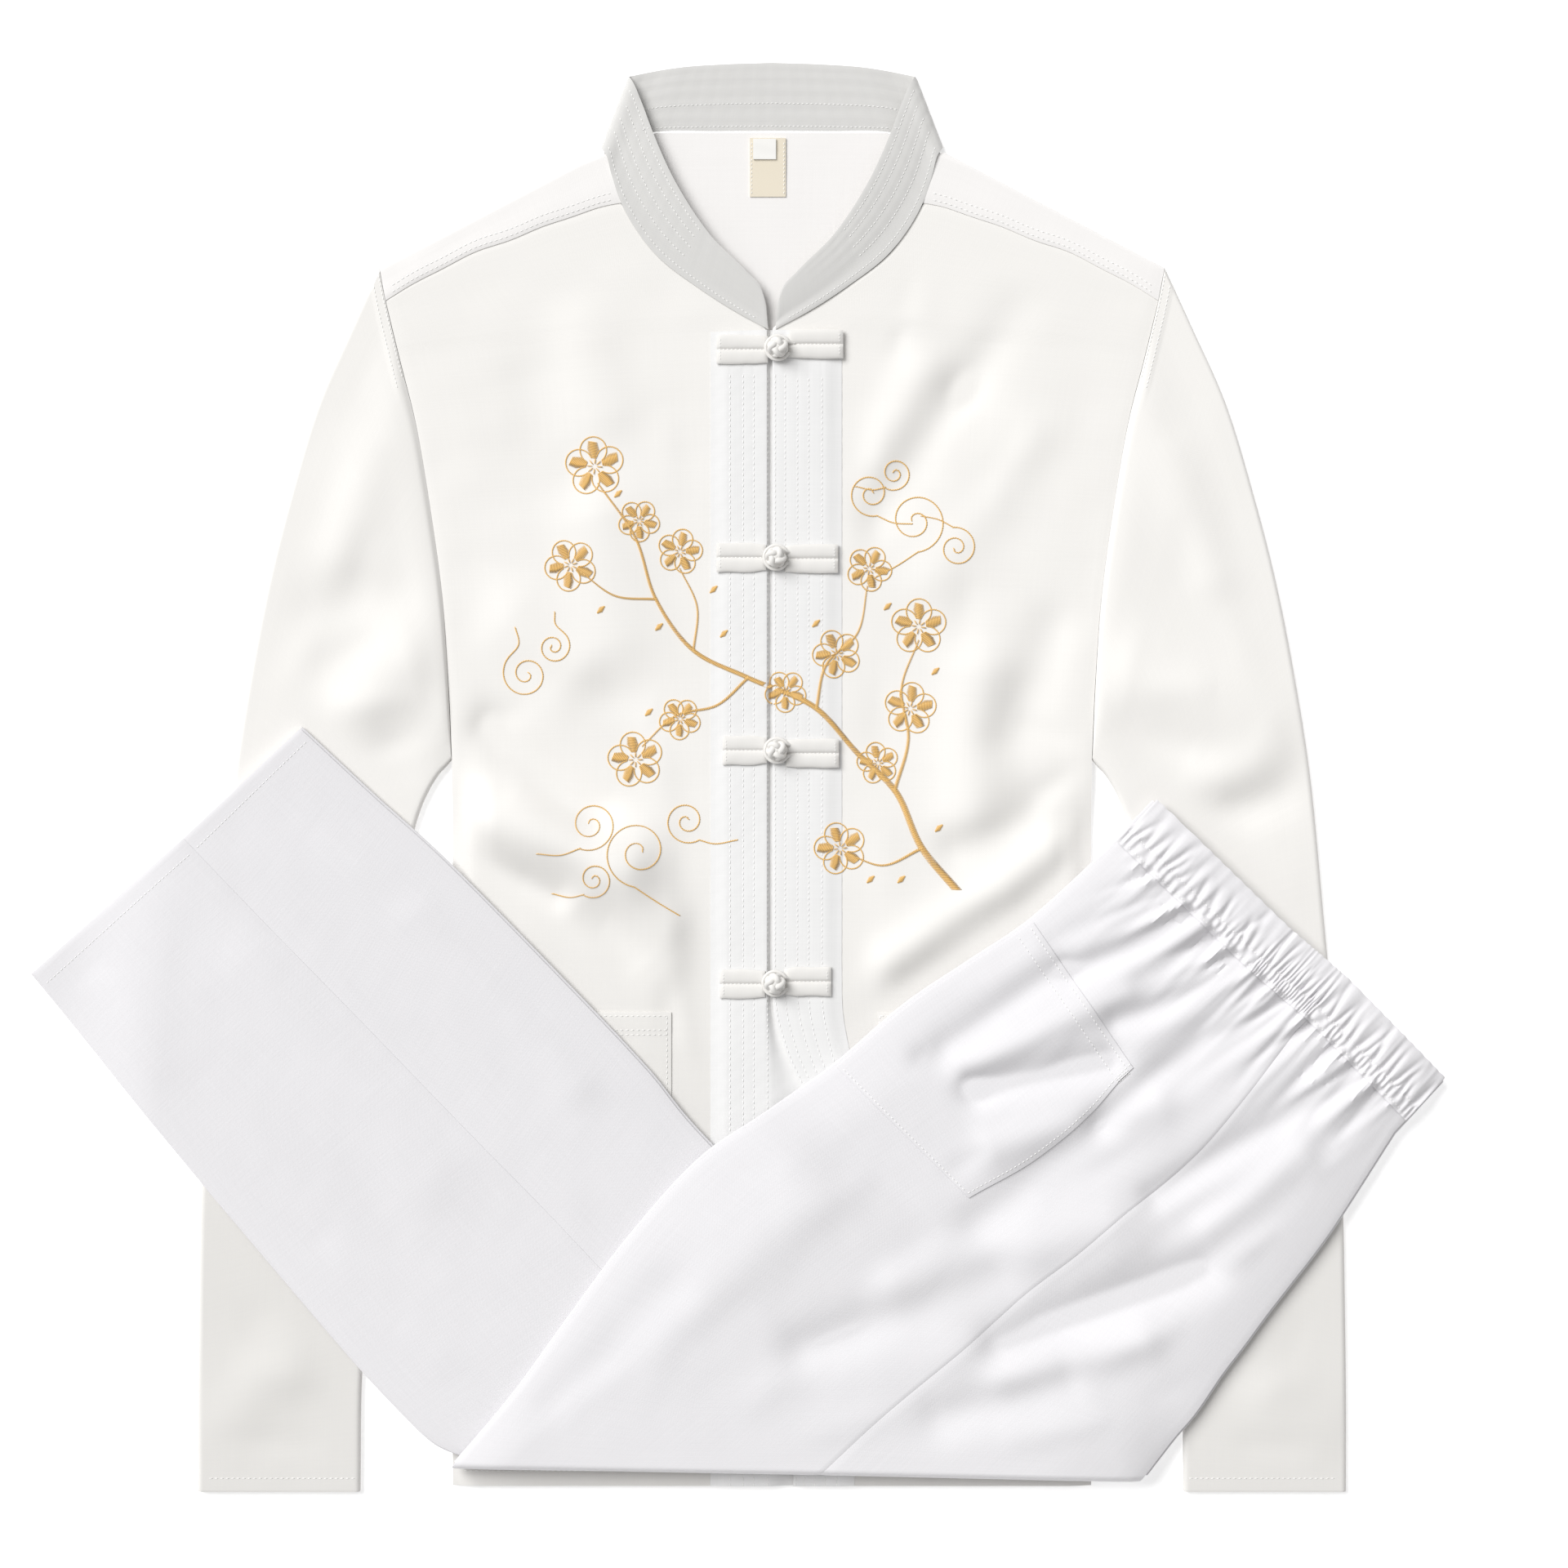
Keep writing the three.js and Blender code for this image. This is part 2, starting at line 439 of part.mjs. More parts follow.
function frontGrid(side) {
  const sign = side === 'right' ? -1 : 1;
  const trim = side === 'right' ? placketRightWidth : placketLeftWidth;
  return frontSections.map((section, row) => {
    const edge = section.armhole === undefined
      ? { x: bodyHalf, y: section.sideY } : armholePoint(section.armhole);
    return frontColumns[side].map((place, k) => {
      const seamShare = seamShares[Math.max(0, k - lapColumns(side))];
      const share = section.innerX > 0 ? seamShare : Math.max(0, place) / bodyHalf;
      let outward = place;
      if (section.innerX > 0) outward = lerp(section.innerX, edge.x, share);
      else if (place > trim) outward = lerp(trim, edge.x, (place - trim) / (bodyHalf - trim));
      if (side === 'left') outward += section.swing * (1 - share) ** 2 + (place === 0 ? gap : 0);
      const inset = place === bodyHalf ? seamHalf : 0;
      const top = row === frontSections.length - 1 ? seamHalf : 0;
      const y = lerp(section.innerY, edge.y, share) + section.bow * bowAt(share) - top;
      const x = sign * (outward - inset);
      return new THREE.Vector3(x + centreX, y, frontUnderside(side, outward, edge.x, row, x, y));
    });
  });
}

const raised = (grid, rise) => grid.map((row) => row.map((p) => p.clone().setZ(p.z + rise)));
const neckRow = frontSections.findIndex((section) => section.innerY === neckY);
const pocketTopRow = frontSections.findIndex((section) => section.innerY === -138);
const pocketFootRow = frontSections.findIndex((section) => section.innerY === -277);
const pocketSide = 174;

function buildFront(side) {
  const under = frontGrid(side);
  const columns = frontColumns[side];
  addPiece(`front_${side}`, wall(raised(under, cloth), under, {
    keep: (i, j) => i < neckRow || j >= lapColumns(side),
  }), linen);
  const trim = columns.indexOf(side === 'right' ? placketRightWidth : placketLeftWidth);
  const band = under.slice(0, neckRow + 1).map((row) => row.slice(0, trim + 1));
  addPiece(`placket_${side}`, wall(raised(band, pitch + cloth), raised(band, pitch)), linenTrim);
  const patch = under.slice(pocketFootRow, pocketTopRow + 1)
    .map((row) => row.slice(trim + 1, columns.indexOf(pocketSide) + 1));
  addPiece(`pocket_${side}`, wall(raised(patch, pitch + cloth), raised(patch, pitch)), linen);
}

// The back lies flat, and its shoulders turn up and over to the forward shoulder seams
const shoulderNeck = { x: 101.5, y: 366.6 };
const shoulderAt = (share) => lerp(shoulderNeck.x, armhole[0].x, share);
const backNeck = { x: 68, y: 378.2 };
const backColumns = [0, backNeck.x / 2, backNeck.x, ...[0, 0.25, 0.5, 0.75, 1].map(shoulderAt)];
const wrapAngles = [-90, -45, 0, 45, 90];

function backTopLine(x) {
  if (x <= backNeck.x) return backNeck.y;
  if (x <= shoulderNeck.x) {
    return lerp(backNeck.y, shoulderNeck.y, (x - backNeck.x) / (shoulderNeck.x - backNeck.x));
  }
  return lerp(shoulderNeck.y, armhole[0].y, (x - shoulderNeck.x) / (armhole[0].x - shoulderNeck.x));
}

function buildBack() {
  const outer = [];
  const inner = [];
  const signed = [...backColumns.slice(1).reverse().map((x) => -x), ...backColumns];
  const rowOf = (place, z) => signed.map((c) => {
    const p = place(Math.abs(c));
    return new THREE.Vector3(centreX + Math.sign(c) * p.x, p.y, z);
  });
  const addRow = (place, lowZ, highZ) => {
    outer.push(rowOf(place, lowZ));
    inner.push(rowOf(place, highZ));
  };
  const width = armhole[0].x;
  const straightRow = (y) => (c) => ({ x: (c / width) * (bodyHalf - seamHalf), y });
  [hemY, -200].forEach((y) => addRow(straightRow(y), backLevel, cloth));
  for (let place = armhole.length - 1; place >= 1; place -= 1) {
    const edge = armholePoint(place);
    const rise = (edge.y - armpitY) / (armhole[0].y - armpitY);
    addRow((c) => ({
      x: (c / width) * (edge.x - seamHalf),
      y: c === width ? edge.y : lerp(armpitY, backTopLine(c), rise),
    }), backLevel, cloth);
  }
  const seamRow = frontSections[frontSections.length - 1];
  const seamAt = (share) => ({
    x: lerp(seamRow.innerX, armhole[1].x - seamHalf, share),
    y: lerp(seamRow.innerY, armhole[1].y, share) + seamRow.bow * bowAt(share) + seamHalf,
  });
  const wrapPoint = (c, depth) => {
    if (c < shoulderNeck.x) return { x: c, y: backTopLine(c) };
    const share = (c - shoulderNeck.x) / (width - shoulderNeck.x);
    const crest = { x: c - (c === width ? seamHalf : 0), y: backTopLine(c) };
    const seam = seamAt(share);
    const long = Math.hypot(seam.x - crest.x, seam.y - crest.y);
    return { x: lerp(crest.x, seam.x, depth / long), y: lerp(crest.y, seam.y, depth / long) };
  };
  addRow((c) => wrapPoint(c, foldRadius + gap), backLevel, cloth);
  const flatEnd = outer.length;
  wrapAngles.forEach((angle) => {
    const turn = THREE.MathUtils.degToRad(angle);
    const bore = foldRadius - cloth;
    const place = (reach) => (c) => wrapPoint(c, foldRadius - reach * Math.cos(turn));
    outer.push(rowOf(place(foldRadius), foldRadius * (1 + Math.sin(turn))));
    inner.push(rowOf(place(bore), foldRadius + bore * Math.sin(turn)));
  });
  const flapEnd = (c) => {
    if (c < shoulderNeck.x) return { x: c, y: backTopLine(c) };
    return seamAt((c - shoulderNeck.x) / (width - shoulderNeck.x));
  };
  addRow(flapEnd, frontTop, frontLevel);
  addPiece('back', wall(outer.slice(0, flatEnd), inner.slice(0, flatEnd)), linen);
  // The same panel where it comes over each shoulder, as nodes of their own, so that the neck stays open
  const sides = [['right', 0, signed.indexOf(-shoulderNeck.x) + 1],
    ['left', signed.indexOf(shoulderNeck.x), signed.length]];
  sides.forEach(([side, from, to]) => {
    const turned = (rows) => rows.slice(flatEnd).map((row) => row.slice(from, to));
    addPiece(`shoulder_${side}`, wall(turned(outer), turned(inner)), linen);
  });
}

// Sleeves are flattened tubes. The ring runs over the top from the outer to the inner fold and back below.
const foldTurns = [45, 0, -45];
const sleeveBelow = [7, 5, 3, 2, 1, 0];

function buildSleeve(side) {
  const sign = side === 'right' ? -1 : 1;
  const shares = armhole.map((point) => (armhole[0].y - point.y) / (armhole[0].y - armpitY));
  const outer = [];
  const inner = [];
  sleeveSections.forEach((section, row) => {
    const chord = { x: section.innerX - section.outerX, y: section.innerY - section.outerY };
    const long = Math.hypot(chord.x, chord.y);
    const along = { x: chord.x / long, y: chord.y / long };
    const out = row === 0 ? gap : 0;
    const keepCurve = Math.max(0, 1 - row / 4) ** 2;
    const place = (share, inward) => {
      const on = armhole[shares.indexOf(share)];
      const straight = {
        x: lerp(armhole[0].x, armhole[7].x, share), y: lerp(armhole[0].y, armhole[7].y, share),
      };
      return {
        x: section.outerX + share * chord.x + keepCurve * (on.x - straight.x) + inward * along.x + out,
        y: section.outerY + share * chord.y + keepCurve * (on.y - straight.y) + inward * along.y,
      };
    };
    const high = (share) => {
      const p = place(share, 0);
      const relief = foldHeight(jacketFolds, sign * p.x, p.y) * Math.sin(Math.PI * share) ** 0.7
        * smooth(0, 2, row) * (1 - coverAt(sign * p.x + centreX, p.y));
      return Math.max(section.high + relief, foldRadius * 1.8);
    };
    const ring = (thick) => {
      const points = [];
      const add = (p, z) => points.push(new THREE.Vector3(centreX + sign * p.x, p.y, z));
      const round = section.high / 2;
      shares.forEach((share, j) => {
        const inward = j === 0 ? round : j === shares.length - 1 ? -round : 0;
        add(place(share, inward), high(share) - thick);
      });
      foldTurns.forEach((angle) => {
        const turn = THREE.MathUtils.degToRad(angle);
        add(place(1, (round - thick) * Math.cos(turn) - round), round + (round - thick) * Math.sin(turn));
      });
      sleeveBelow.forEach((k) => {
        const inward = k === 7 ? -round : k === 0 ? round : 0;
        add(place(shares[k], inward), thick);
      });
      [...foldTurns].reverse().forEach((angle) => {
        const turn = THREE.MathUtils.degToRad(angle);
        add(place(0, round - (round - thick) * Math.cos(turn)), round + (round - thick) * Math.sin(turn));
      });
      return points;
    };
    outer.push(ring(0));
    inner.push(ring(cloth));
  });
  addPiece(`sleeve_${side}`, wall(outer, inner, { closed: true }), linen);
}

// The collar is one band with its two side folds, its thickness set off square to its middle surface
function buildCollar() {
  const half = collarSections.map((s) => collarAcross.map((across) => new THREE.Vector3(
    lerp(s.seamX, s.topX, across), lerp(s.seamY, s.topY, across),
    lerp(s.seamZ, s.topZ, across) + 0.5 * Math.sin(Math.PI * across) * smooth(1, 3, s.seamZ),
  )));
  const mirrored = half.slice(0, -1).map((row) => row.map((p) => new THREE.Vector3(-p.x, p.y, p.z)));
  const middle = [...mirrored, ...half.reverse()];
  const set = (i, j) => middle[Math.min(middle.length - 1, Math.max(0, i))][Math.min(3, Math.max(0, j))];
  const faceAt = (reach) => middle.map((row, i) => row.map((p, j) => {
    const lengthwise = set(i + 1, j).clone().sub(set(i - 1, j));
    const crosswise = set(i, j + 1).clone().sub(set(i, j - 1));
    const normal = lengthwise.cross(crosswise).normalize();
    return p.clone().addScaledVector(normal, reach).add(new THREE.Vector3(centreX, 0, 0));
  }));
  addPiece('collar', wall(faceAt(cloth / 2), faceAt(-cloth / 2)), linenTrim);
}

// Flat pieces cut from an outline with round corners
function roundedPlate(width, length, radius, thick) {
  const shape = new THREE.Shape();
  const x = width / 2 - radius;
  const y = length / 2 - radius;
  shape.absarc(x, y, radius, 0, Math.PI / 2);
  shape.absarc(-x, y, radius, Math.PI / 2, Math.PI);
  shape.absarc(-x, -y, radius, Math.PI, 1.5 * Math.PI);
  shape.absarc(x, -y, radius, 1.5 * Math.PI, 2 * Math.PI);
  return new THREE.ExtrudeGeometry(shape, { depth: thick, bevelEnabled: false, curveSegments: 1 });
}

function toManifold(geometry) {
  const bare = geometry.clone();
  bare.deleteAttribute('normal');
  bare.deleteAttribute('uv');
  const merged = mergeVertices(bare, 1e-4);
  return new wasm.Manifold(new wasm.Mesh({
    numProp: 3,
    vertProperties: new Float32Array(merged.attributes.position.array),
    triVerts: new Uint32Array(merged.index.array),
  }));
}

function fromManifold(made) {
  const mesh = made.getMesh();
  const geometry = new THREE.BufferGeometry();
  geometry.setAttribute('position', new THREE.BufferAttribute(new Float32Array(mesh.vertProperties), 3));
  geometry.setIndex(Array.from(mesh.triVerts));
  return geometry;
}

function buildFrog(frog, number) {
  const base = topLevel;
  const knotLegEnd = frog.knotX - knotRadius + 0.4;
  const knotLeg = roundedPlate(frog.knotLegLong, frogWidth, frogCorner, knotLegThick);
  knotLeg.translate(centreX + knotLegEnd - frog.knotLegLong / 2, frog.knotLegY, base);
  addPiece(`frog_${number}_knot_leg`, knotLeg, linenTrim);

  const loopLegStart = frog.knotX + knotRadius - 0.8;
  const strip = roundedPlate(frog.loopLegLong, frogWidth, frogCorner, frogThick);
  strip.translate(centreX + loopLegStart + frog.loopLegLong / 2, frog.loopLegY, base);
  const ringMiddle = knotRadius + gap + loopCord / 2;
  const section = [];
  for (let k = 0; k <= cordSides; k += 1) {
    const turn = (k / cordSides) * 2 * Math.PI;
    const cord = new THREE.Vector2(Math.cos(turn), Math.sin(turn)).multiplyScalar(loopCord / 2);
    section.push(cord.setX(cord.x + ringMiddle));
  }
  const ring = new THREE.LatheGeometry(section, 12);
  ring.rotateX(Math.PI / 2);
  ring.translate(centreX + frog.knotX, frog.knotY, base + frogThick + loopCord / 2 - gap);
  addPiece(`frog_${number}_loop_leg`, fromManifold(toManifold(strip).add(toManifold(ring))), linenTrim);

  const knot = new THREE.SphereGeometry(knotRadius, 10, 6);
  knot.rotateX(Math.PI / 2);
  knot.scale(1, 1, knotHalfHeight / knotRadius);
  knot.translate(centreX + frog.knotX, frog.knotY, base + knotHalfHeight + gap);
  addPiece(`frog_${number}_knot`, knot, linenTrim);
}

// The neck label and the size tag that lies on it
const labels = [
  { name: 'neck_label', wide: 21, long: 34.5, x: -2.4, y: 357.8 },
  { name: 'size_tag', wide: 13.4, long: 12, x: -4.3, y: 368.4 },
];
const labelThick = 1;
const labelCorner = 0.5;

function buildLabels() {
  labels.forEach((label, k) => {
    const plate = roundedPlate(label.wide, label.long, labelCorner, labelThick);
    plate.translate(centreX + label.x, label.y, pitch + k * (labelThick + gap));
    addPiece(label.name, plate, tagWeave);
  });
}

// Places across and along a folded leg. across runs 0 to the number of rails less one.
function legPoint(leg, along, across) {
  const i = Math.min(leg.rails.length - 2, Math.floor(across));
  const rail = (k, key) => column(leg.sections, `${leg.rails[k]}${key}`, along);
  const at = (key) => lerp(rail(i, key), rail(i + 1, key), across - i);
  return { x: at('X'), y: at('Y') };
}

const thighRails = ['fold', 'pocket', 'seam', 'back'];
const shinRails = ['fold', 'seam', 'back'];
const thighAlong = [0, 0.5, 1, 1.5, 2, 2.5, 3, 3.5, 4, 4.5, 5, 5.5, 6, 6.5, 7, 7.5, 8, 9, 10];
const thighAcross = [0, 0.1, 0.28, 0.5, 0.75, 1, 1.3, 1.65, 2, 2.25, 2.5, 2.75, 2.93, 3];
const shinAlong = Array.from({ length: 22 }, (_, k) => k / 3);
const shinAcross = [0, 0.08, 0.3, 0.6, 1, 1.4, 1.7, 1.92, 2];
const edgeSink = 0.45;
const edgeRound = 0.34;
const leastThick = 0.4;

// What each folded leg is made from. relief is how far its folds show at a place.
const thigh = {
  sections: thighSections, rails: thighRails, alongs: thighAlong, acrosses: thighAcross, thick: thighThick,
  support: thighSupport, folds: thighFolds,
  relief: (x, y, along) => smooth(0, 0.6, along) * (1 - smooth(9.2, 9.9, along)),
};
const shin = {
  sections: shinSections, rails: shinRails, alongs: shinAlong, acrosses: shinAcross, thick: shinThick,
  support: jacketSupport, folds: shinFolds,
  relief: (x, y) => smooth(14, 48, outsideDistance(thighOutline, x, y)),
};

// Thickness of the hidden layers: thinner at the folded edges, lifted and pressed by the folds
function layersThick(leg, along, across, x, y) {
  const edge = Math.min(across, leg.rails.length - 1 - across);
  const full = leg.thick * lerp(edgeSink, 1, Math.sqrt(smooth(0, edgeRound, edge)));
  const folds = foldHeight(leg.folds, x, y) * smooth(0, edgeRound, edge) * leg.relief(x, y, along);
  return Math.max(leg.thick * leastThick, full + folds);
}

// One rounded solid for the hidden layers, with a groove between the layers down each folded edge.
// Rings before the first section carry the layers on under the waistband.
const edgeLayers = [{ share: 0.25, out: 1.2 }, { share: 0.5, out: 0.2 }, { share: 0.75, out: 1.2 }];

function buildLayers(name, leg, ringsBefore) {
  const ringAt = (place, along, flatten) => {
    const low = leg.acrosses.map((across) => {
      const q = place(along, across);
      return new THREE.Vector3(q.x, q.y, leg.support(q.x, q.y));
    });
    const high = leg.acrosses.map((across, k) => {
      const q = low[k];
      return q.clone().setZ(q.z + layersThick(leg, along, across, q.x, q.y) * flatten);
    });
    const end = low.length - 1;
    const side = (from, to, way) => edgeLayers.map((layer) =>
      from.clone().lerp(to, layer.share).addScaledVector(way, layer.out));
    const firstWay = low[0].clone().sub(low[1]).setZ(0).normalize();
    const lastWay = low[end].clone().sub(low[end - 1]).setZ(0).normalize();
    const backEdge = side(high[end], low[end], lastWay);
    const frontEdge = side(low[0], high[0], firstWay);
    return [...high, ...backEdge, ...low.reverse(), ...frontEdge];
  };
  const onLeg = (along, across) => legPoint(leg, along, across);
  const rings = [...ringsBefore.map((ring) => ringAt(ring.place, 0, ring.flatten)),
    ...leg.alongs.map((along) => ringAt(onLeg, along, 1))];
  addPiece(name, loft(rings), legLinen);
}

// Grids of the cloth that lies on the hidden layers
function legGrid(leg, alongs, acrosses, rise) {
  return alongs.map((along) => acrosses.map((across) => {
    const p = legPoint(leg, along, across);
    const under = leg.support(p.x, p.y) + layersThick(leg, along, across, p.x, p.y);
    return new THREE.Vector3(p.x, p.y, under + gap + rise);
  }));
}

// Sets one column of a grid back from a seam
function setBack(grid, at, towards, distance) {
  grid.forEach((row) => {
    const way = row[towards].clone().sub(row[at]).setZ(0).normalize();
    row[at].addScaledVector(way, distance);
  });
}

function buildShin() {
  buildLayers('shin_layers', shin, []);
  const seam = shinAcross.indexOf(1);
  const panels = [['right_leg_front', 0, seam], ['right_leg_back', seam, shinAcross.length - 1]];
  panels.forEach(([name, from, to]) => {
    const acrosses = shinAcross.slice(from, to + 1);
    const under = legGrid(shin, shin.alongs, acrosses, 0);
    const last = acrosses.length - 1;
    if (from === seam) setBack(under, 0, 1, seamHalf);
    else setBack(under, last, last - 1, seamHalf);
    addPiece(name, wall(raised(under, legCloth), under), legLinen);
  });
}

// Places on the waistband, out from the waist seam, and how its layers thin towards its top edge
function bandPoint(across, out) {
  const p = legPoint(thigh, 0, across);
  return { x: p.x + out * bandOutX, y: p.y + out * bandOutY };
}
const bandFlatten = (out) => lerp(1, 0.62, smooth(14, bandReach, out));
const bandRings = [42, 31, 16].map((out) => ({
  flatten: bandFlatten(out),
  place: (along, across) => bandPoint(across, out),
}));

// The thigh cloth turns down round the knee fold and ends under the layers it wraps
const kneeTurns = [60, 30, 0, -30, -60, -90];
const kneeReach = 5.5;

function kneeRows(grid, thick) {
  const last = grid[grid.length - 1];
  const before = grid[grid.length - 2];
  return kneeTurns.map((angle) => last.map((p, j) => {
    const turn = THREE.MathUtils.degToRad(angle);
    const way = p.clone().sub(before[j]).setZ(0).normalize();
    const outerTop = p.z + legCloth - thick;
    const base = jacketSupport(p.x, p.y);
    const middle = (outerTop + base) / 2;
    const high = (outerTop - base) / 2 - (legCloth - thick);
    return p.clone().setZ(middle + high * Math.sin(turn))
      .addScaledVector(way, (kneeReach - (legCloth - thick)) * Math.cos(turn));
  }));
}

function buildThigh() {
  buildLayers('thigh_layers', thigh, bandRings);
  const seam = thighAcross.indexOf(2);
  const panels = [['left_leg_front', 0, seam], ['left_leg_back', seam, thighAcross.length - 1]];
  panels.forEach(([name, from, to]) => {
    const acrosses = thighAcross.slice(from, to + 1);
    const under = legGrid(thigh, thigh.alongs, acrosses, 0);
    const last = acrosses.length - 1;
    if (from === seam) setBack(under, 0, 1, seamHalf);
    else setBack(under, last, last - 1, seamHalf);
    const top = raised(under, legCloth);
    addPiece(name, wall([...top, ...kneeRows(top, legCloth)], [...under, ...kneeRows(under, 0)]), legLinen);
  });
  const patchColumns = thighAcross.slice(0, thighAcross.indexOf(1) + 1);
  const patchRows = thighAlong.filter((along) => along >= pocketFromSection && along <= pocketToSection);
  const patch = legGrid(thigh, patchRows, patchColumns, legCloth + gap);
  addPiece('side_pocket', wall(raised(patch, cloth), patch), legLinen);
}

function buildWaistband() {
  const count = bandGathers * gatherSteps.length;
  const under = bandRows.map((band) => Array.from({ length: count + 1 }, (_, k) => {
    const across = (k / count) * (thighRails.length - 1);
    const at = bandPoint(across, Math.max(gap, band.out));
    const layers = layersThick(thigh, 0, across, at.x, at.y) * bandFlatten(band.out);
    const wave = (gatherSteps[k % gatherSteps.length] + 1) * band.sway;
    return new THREE.Vector3(at.x, at.y, thighSupport(at.x, at.y) + layers + gap + bandClear + wave);
  }));
  addPiece('trouser_waistband', wall(raised(under, bandThick), under), legLinen);
}

buildBack();
buildFront('right');
buildFront('left');
buildSleeve('right');
buildSleeve('left');
buildCollar();
buildLabels();
frogs.forEach((frog, k) => buildFrog(frog, k + 1));
buildShin();
buildThigh();
buildWaistband();

export default suit;
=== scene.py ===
import math

import bpy
import numpy as np
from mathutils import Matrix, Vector
from mathutils.bvhtree import BVHTree


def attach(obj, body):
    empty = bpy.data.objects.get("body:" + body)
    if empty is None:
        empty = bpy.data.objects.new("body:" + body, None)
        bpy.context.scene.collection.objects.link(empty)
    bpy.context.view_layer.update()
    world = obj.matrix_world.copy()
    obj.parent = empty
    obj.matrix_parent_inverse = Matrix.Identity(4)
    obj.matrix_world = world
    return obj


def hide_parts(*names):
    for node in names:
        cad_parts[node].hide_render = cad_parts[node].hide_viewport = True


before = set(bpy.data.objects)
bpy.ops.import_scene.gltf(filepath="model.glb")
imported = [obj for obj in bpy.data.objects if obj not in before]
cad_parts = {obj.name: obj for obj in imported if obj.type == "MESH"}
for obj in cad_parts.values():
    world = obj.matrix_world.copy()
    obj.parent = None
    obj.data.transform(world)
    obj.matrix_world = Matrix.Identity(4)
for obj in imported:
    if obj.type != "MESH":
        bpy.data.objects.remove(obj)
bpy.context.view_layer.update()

print("frame loaded")

# Sizes shared by the pieces, in millimetres; meshes are written in metres
cloth, gap, legCloth = 1.2, 0.3, 1.5
pitch = cloth + gap
lapLevel, frontLevel, topLevel = pitch, 3 * pitch, 5 * pitch
frontTop = frontLevel + cloth
foldRadius = frontTop / 2
centreX, bodyHalf, hemY, armpitY, neckY = 20.0, 187.5, -416.0, 10.0, 262.0
metre = 0.001
seamHalf = 0.03  # half of what stays open at a sewn seam


def lerp(a, b, t):
    return a + (b - a) * t


def smooth(low, high, value):
    t = np.clip((value - low) / (high - low), 0, 1)
    return t * t * (3 - 2 * t)


def unit(vectors):
    return vectors / np.maximum(np.linalg.norm(vectors, axis=-1, keepdims=True), 1e-9)


def lineDistance(x, y, x0, y0, x1, y1):
    # distance from a line between two ends, and how far along it the nearest point is
    dx, dy = x1 - x0, y1 - y0
    t = np.clip(((x - x0) * dx + (y - y0) * dy) / (dx * dx + dy * dy), 0, 1)
    return np.hypot(x - x0 - t * dx, y - y0 - t * dy), t


def foldHeight(folds, x, y):
    total = np.zeros(np.broadcast(x, y).shape)
    for x0, y0, x1, y1, wide, rise in folds:
        away, _ = lineDistance(x, y, x0, y0, x1, y1)
        total += rise * np.exp(-(away / wide) ** 2)
    return total


def creaseHeight(creases, x, y, openEnd=False):
    # creases fade at both ends, or only at the far one where they start in a seam
    total = np.zeros(np.broadcast(x, y).shape)
    for x0, y0, x1, y1, wide, rise in creases:
        away, t = lineDistance(x, y, x0, y0, x1, y1)
        fade = (1 - t) ** 0.8 if openEnd else np.sin(math.pi * np.clip(t, 0.02, 0.98)) ** 0.7
        total += rise * fade * np.exp(-(away / (wide * (1 + 0.5 * t))) ** 2)
    return total


def rumple(x, y, size, turn=0.0):
    # slow uneven waves, from a few crossing sines that bend each other
    total = 0
    for k, (angle, stretch) in enumerate([(0.3, 1.0), (1.4, 1.27), (2.3, 0.83), (0.9, 1.61), (2.8, 2.1)]):
        along = x * math.cos(angle + turn) + y * math.sin(angle + turn)
        across = y * math.cos(angle + turn) - x * math.sin(angle + turn)
        total = total + np.sin(along * stretch / size + 1.3 * np.sin(across / size * 0.6 + k) + 2.1 * k)
    return total / 5


def column(values, place):
    # a table column read between its rows along a smooth curve
    values = np.asarray(values, float)
    last = len(values) - 1
    i = np.clip(np.floor(place).astype(int), 0, last - 1)
    t = place - i
    a, b, c, d = (values[np.clip(i + k, 0, last)] for k in (-1, 0, 1, 2))
    return b + 0.5 * t * (c - a + t * (2 * a - 5 * b + 4 * c - d + t * (3 * (b - c) + d - a)))


def spline(knots, values, at):
    # a smooth curve through unevenly spaced values
    knots, values = np.asarray(knots, float), np.asarray(values, float)
    steps = np.diff(knots)
    slopes = np.diff(values, axis=0) / steps[:, None]
    tangents = np.vstack([slopes[:1], slopes])
    tangents[1:-1] = (steps[:-1, None] * slopes[1:] + steps[1:, None] * slopes[:-1]) \
        / (steps[:-1] + steps[1:])[:, None]
    i = np.clip(np.searchsorted(knots, at, side="right") - 1, 0, len(knots) - 2)
    h = steps[i][:, None]
    t = ((at - knots[i]) / steps[i])[:, None]
    return ((1 + 2 * t) * (1 - t) ** 2 * values[i] + t * (1 - t) ** 2 * h * tangents[i]
            + t * t * (3 - 2 * t) * values[i + 1] + t * t * (t - 1) * h * tangents[i + 1])


def outsideDistance(outline, x, y):
    x, y = np.broadcast_arrays(np.asarray(x, float), np.asarray(y, float))
    inside = np.zeros(x.shape, bool)
    nearest = np.full(x.shape, np.inf)
    for (ax, ay), (bx, by) in zip(outline, outline[1:] + outline[:1]):
        crosses = ((ay > y) != (by > y)) & (x < (bx - ax) * (y - ay) / ((by - ay) or 1e-9) + ax)
        inside ^= crosses
        nearest = np.minimum(nearest, lineDistance(x, y, ax, ay, bx, by)[0])
    return np.where(inside, 0.0, nearest)


# Tables: the cut and the lie of the suit, in the solids' own sizes
armhole = [(230.4, 299.0), (226.6, 279.5), (218.4, 245.3), (208.8, 206.9),
           (200.6, 158.9), (193.4, 106.1), (189.6, 53.3), (187.7, armpitY)]

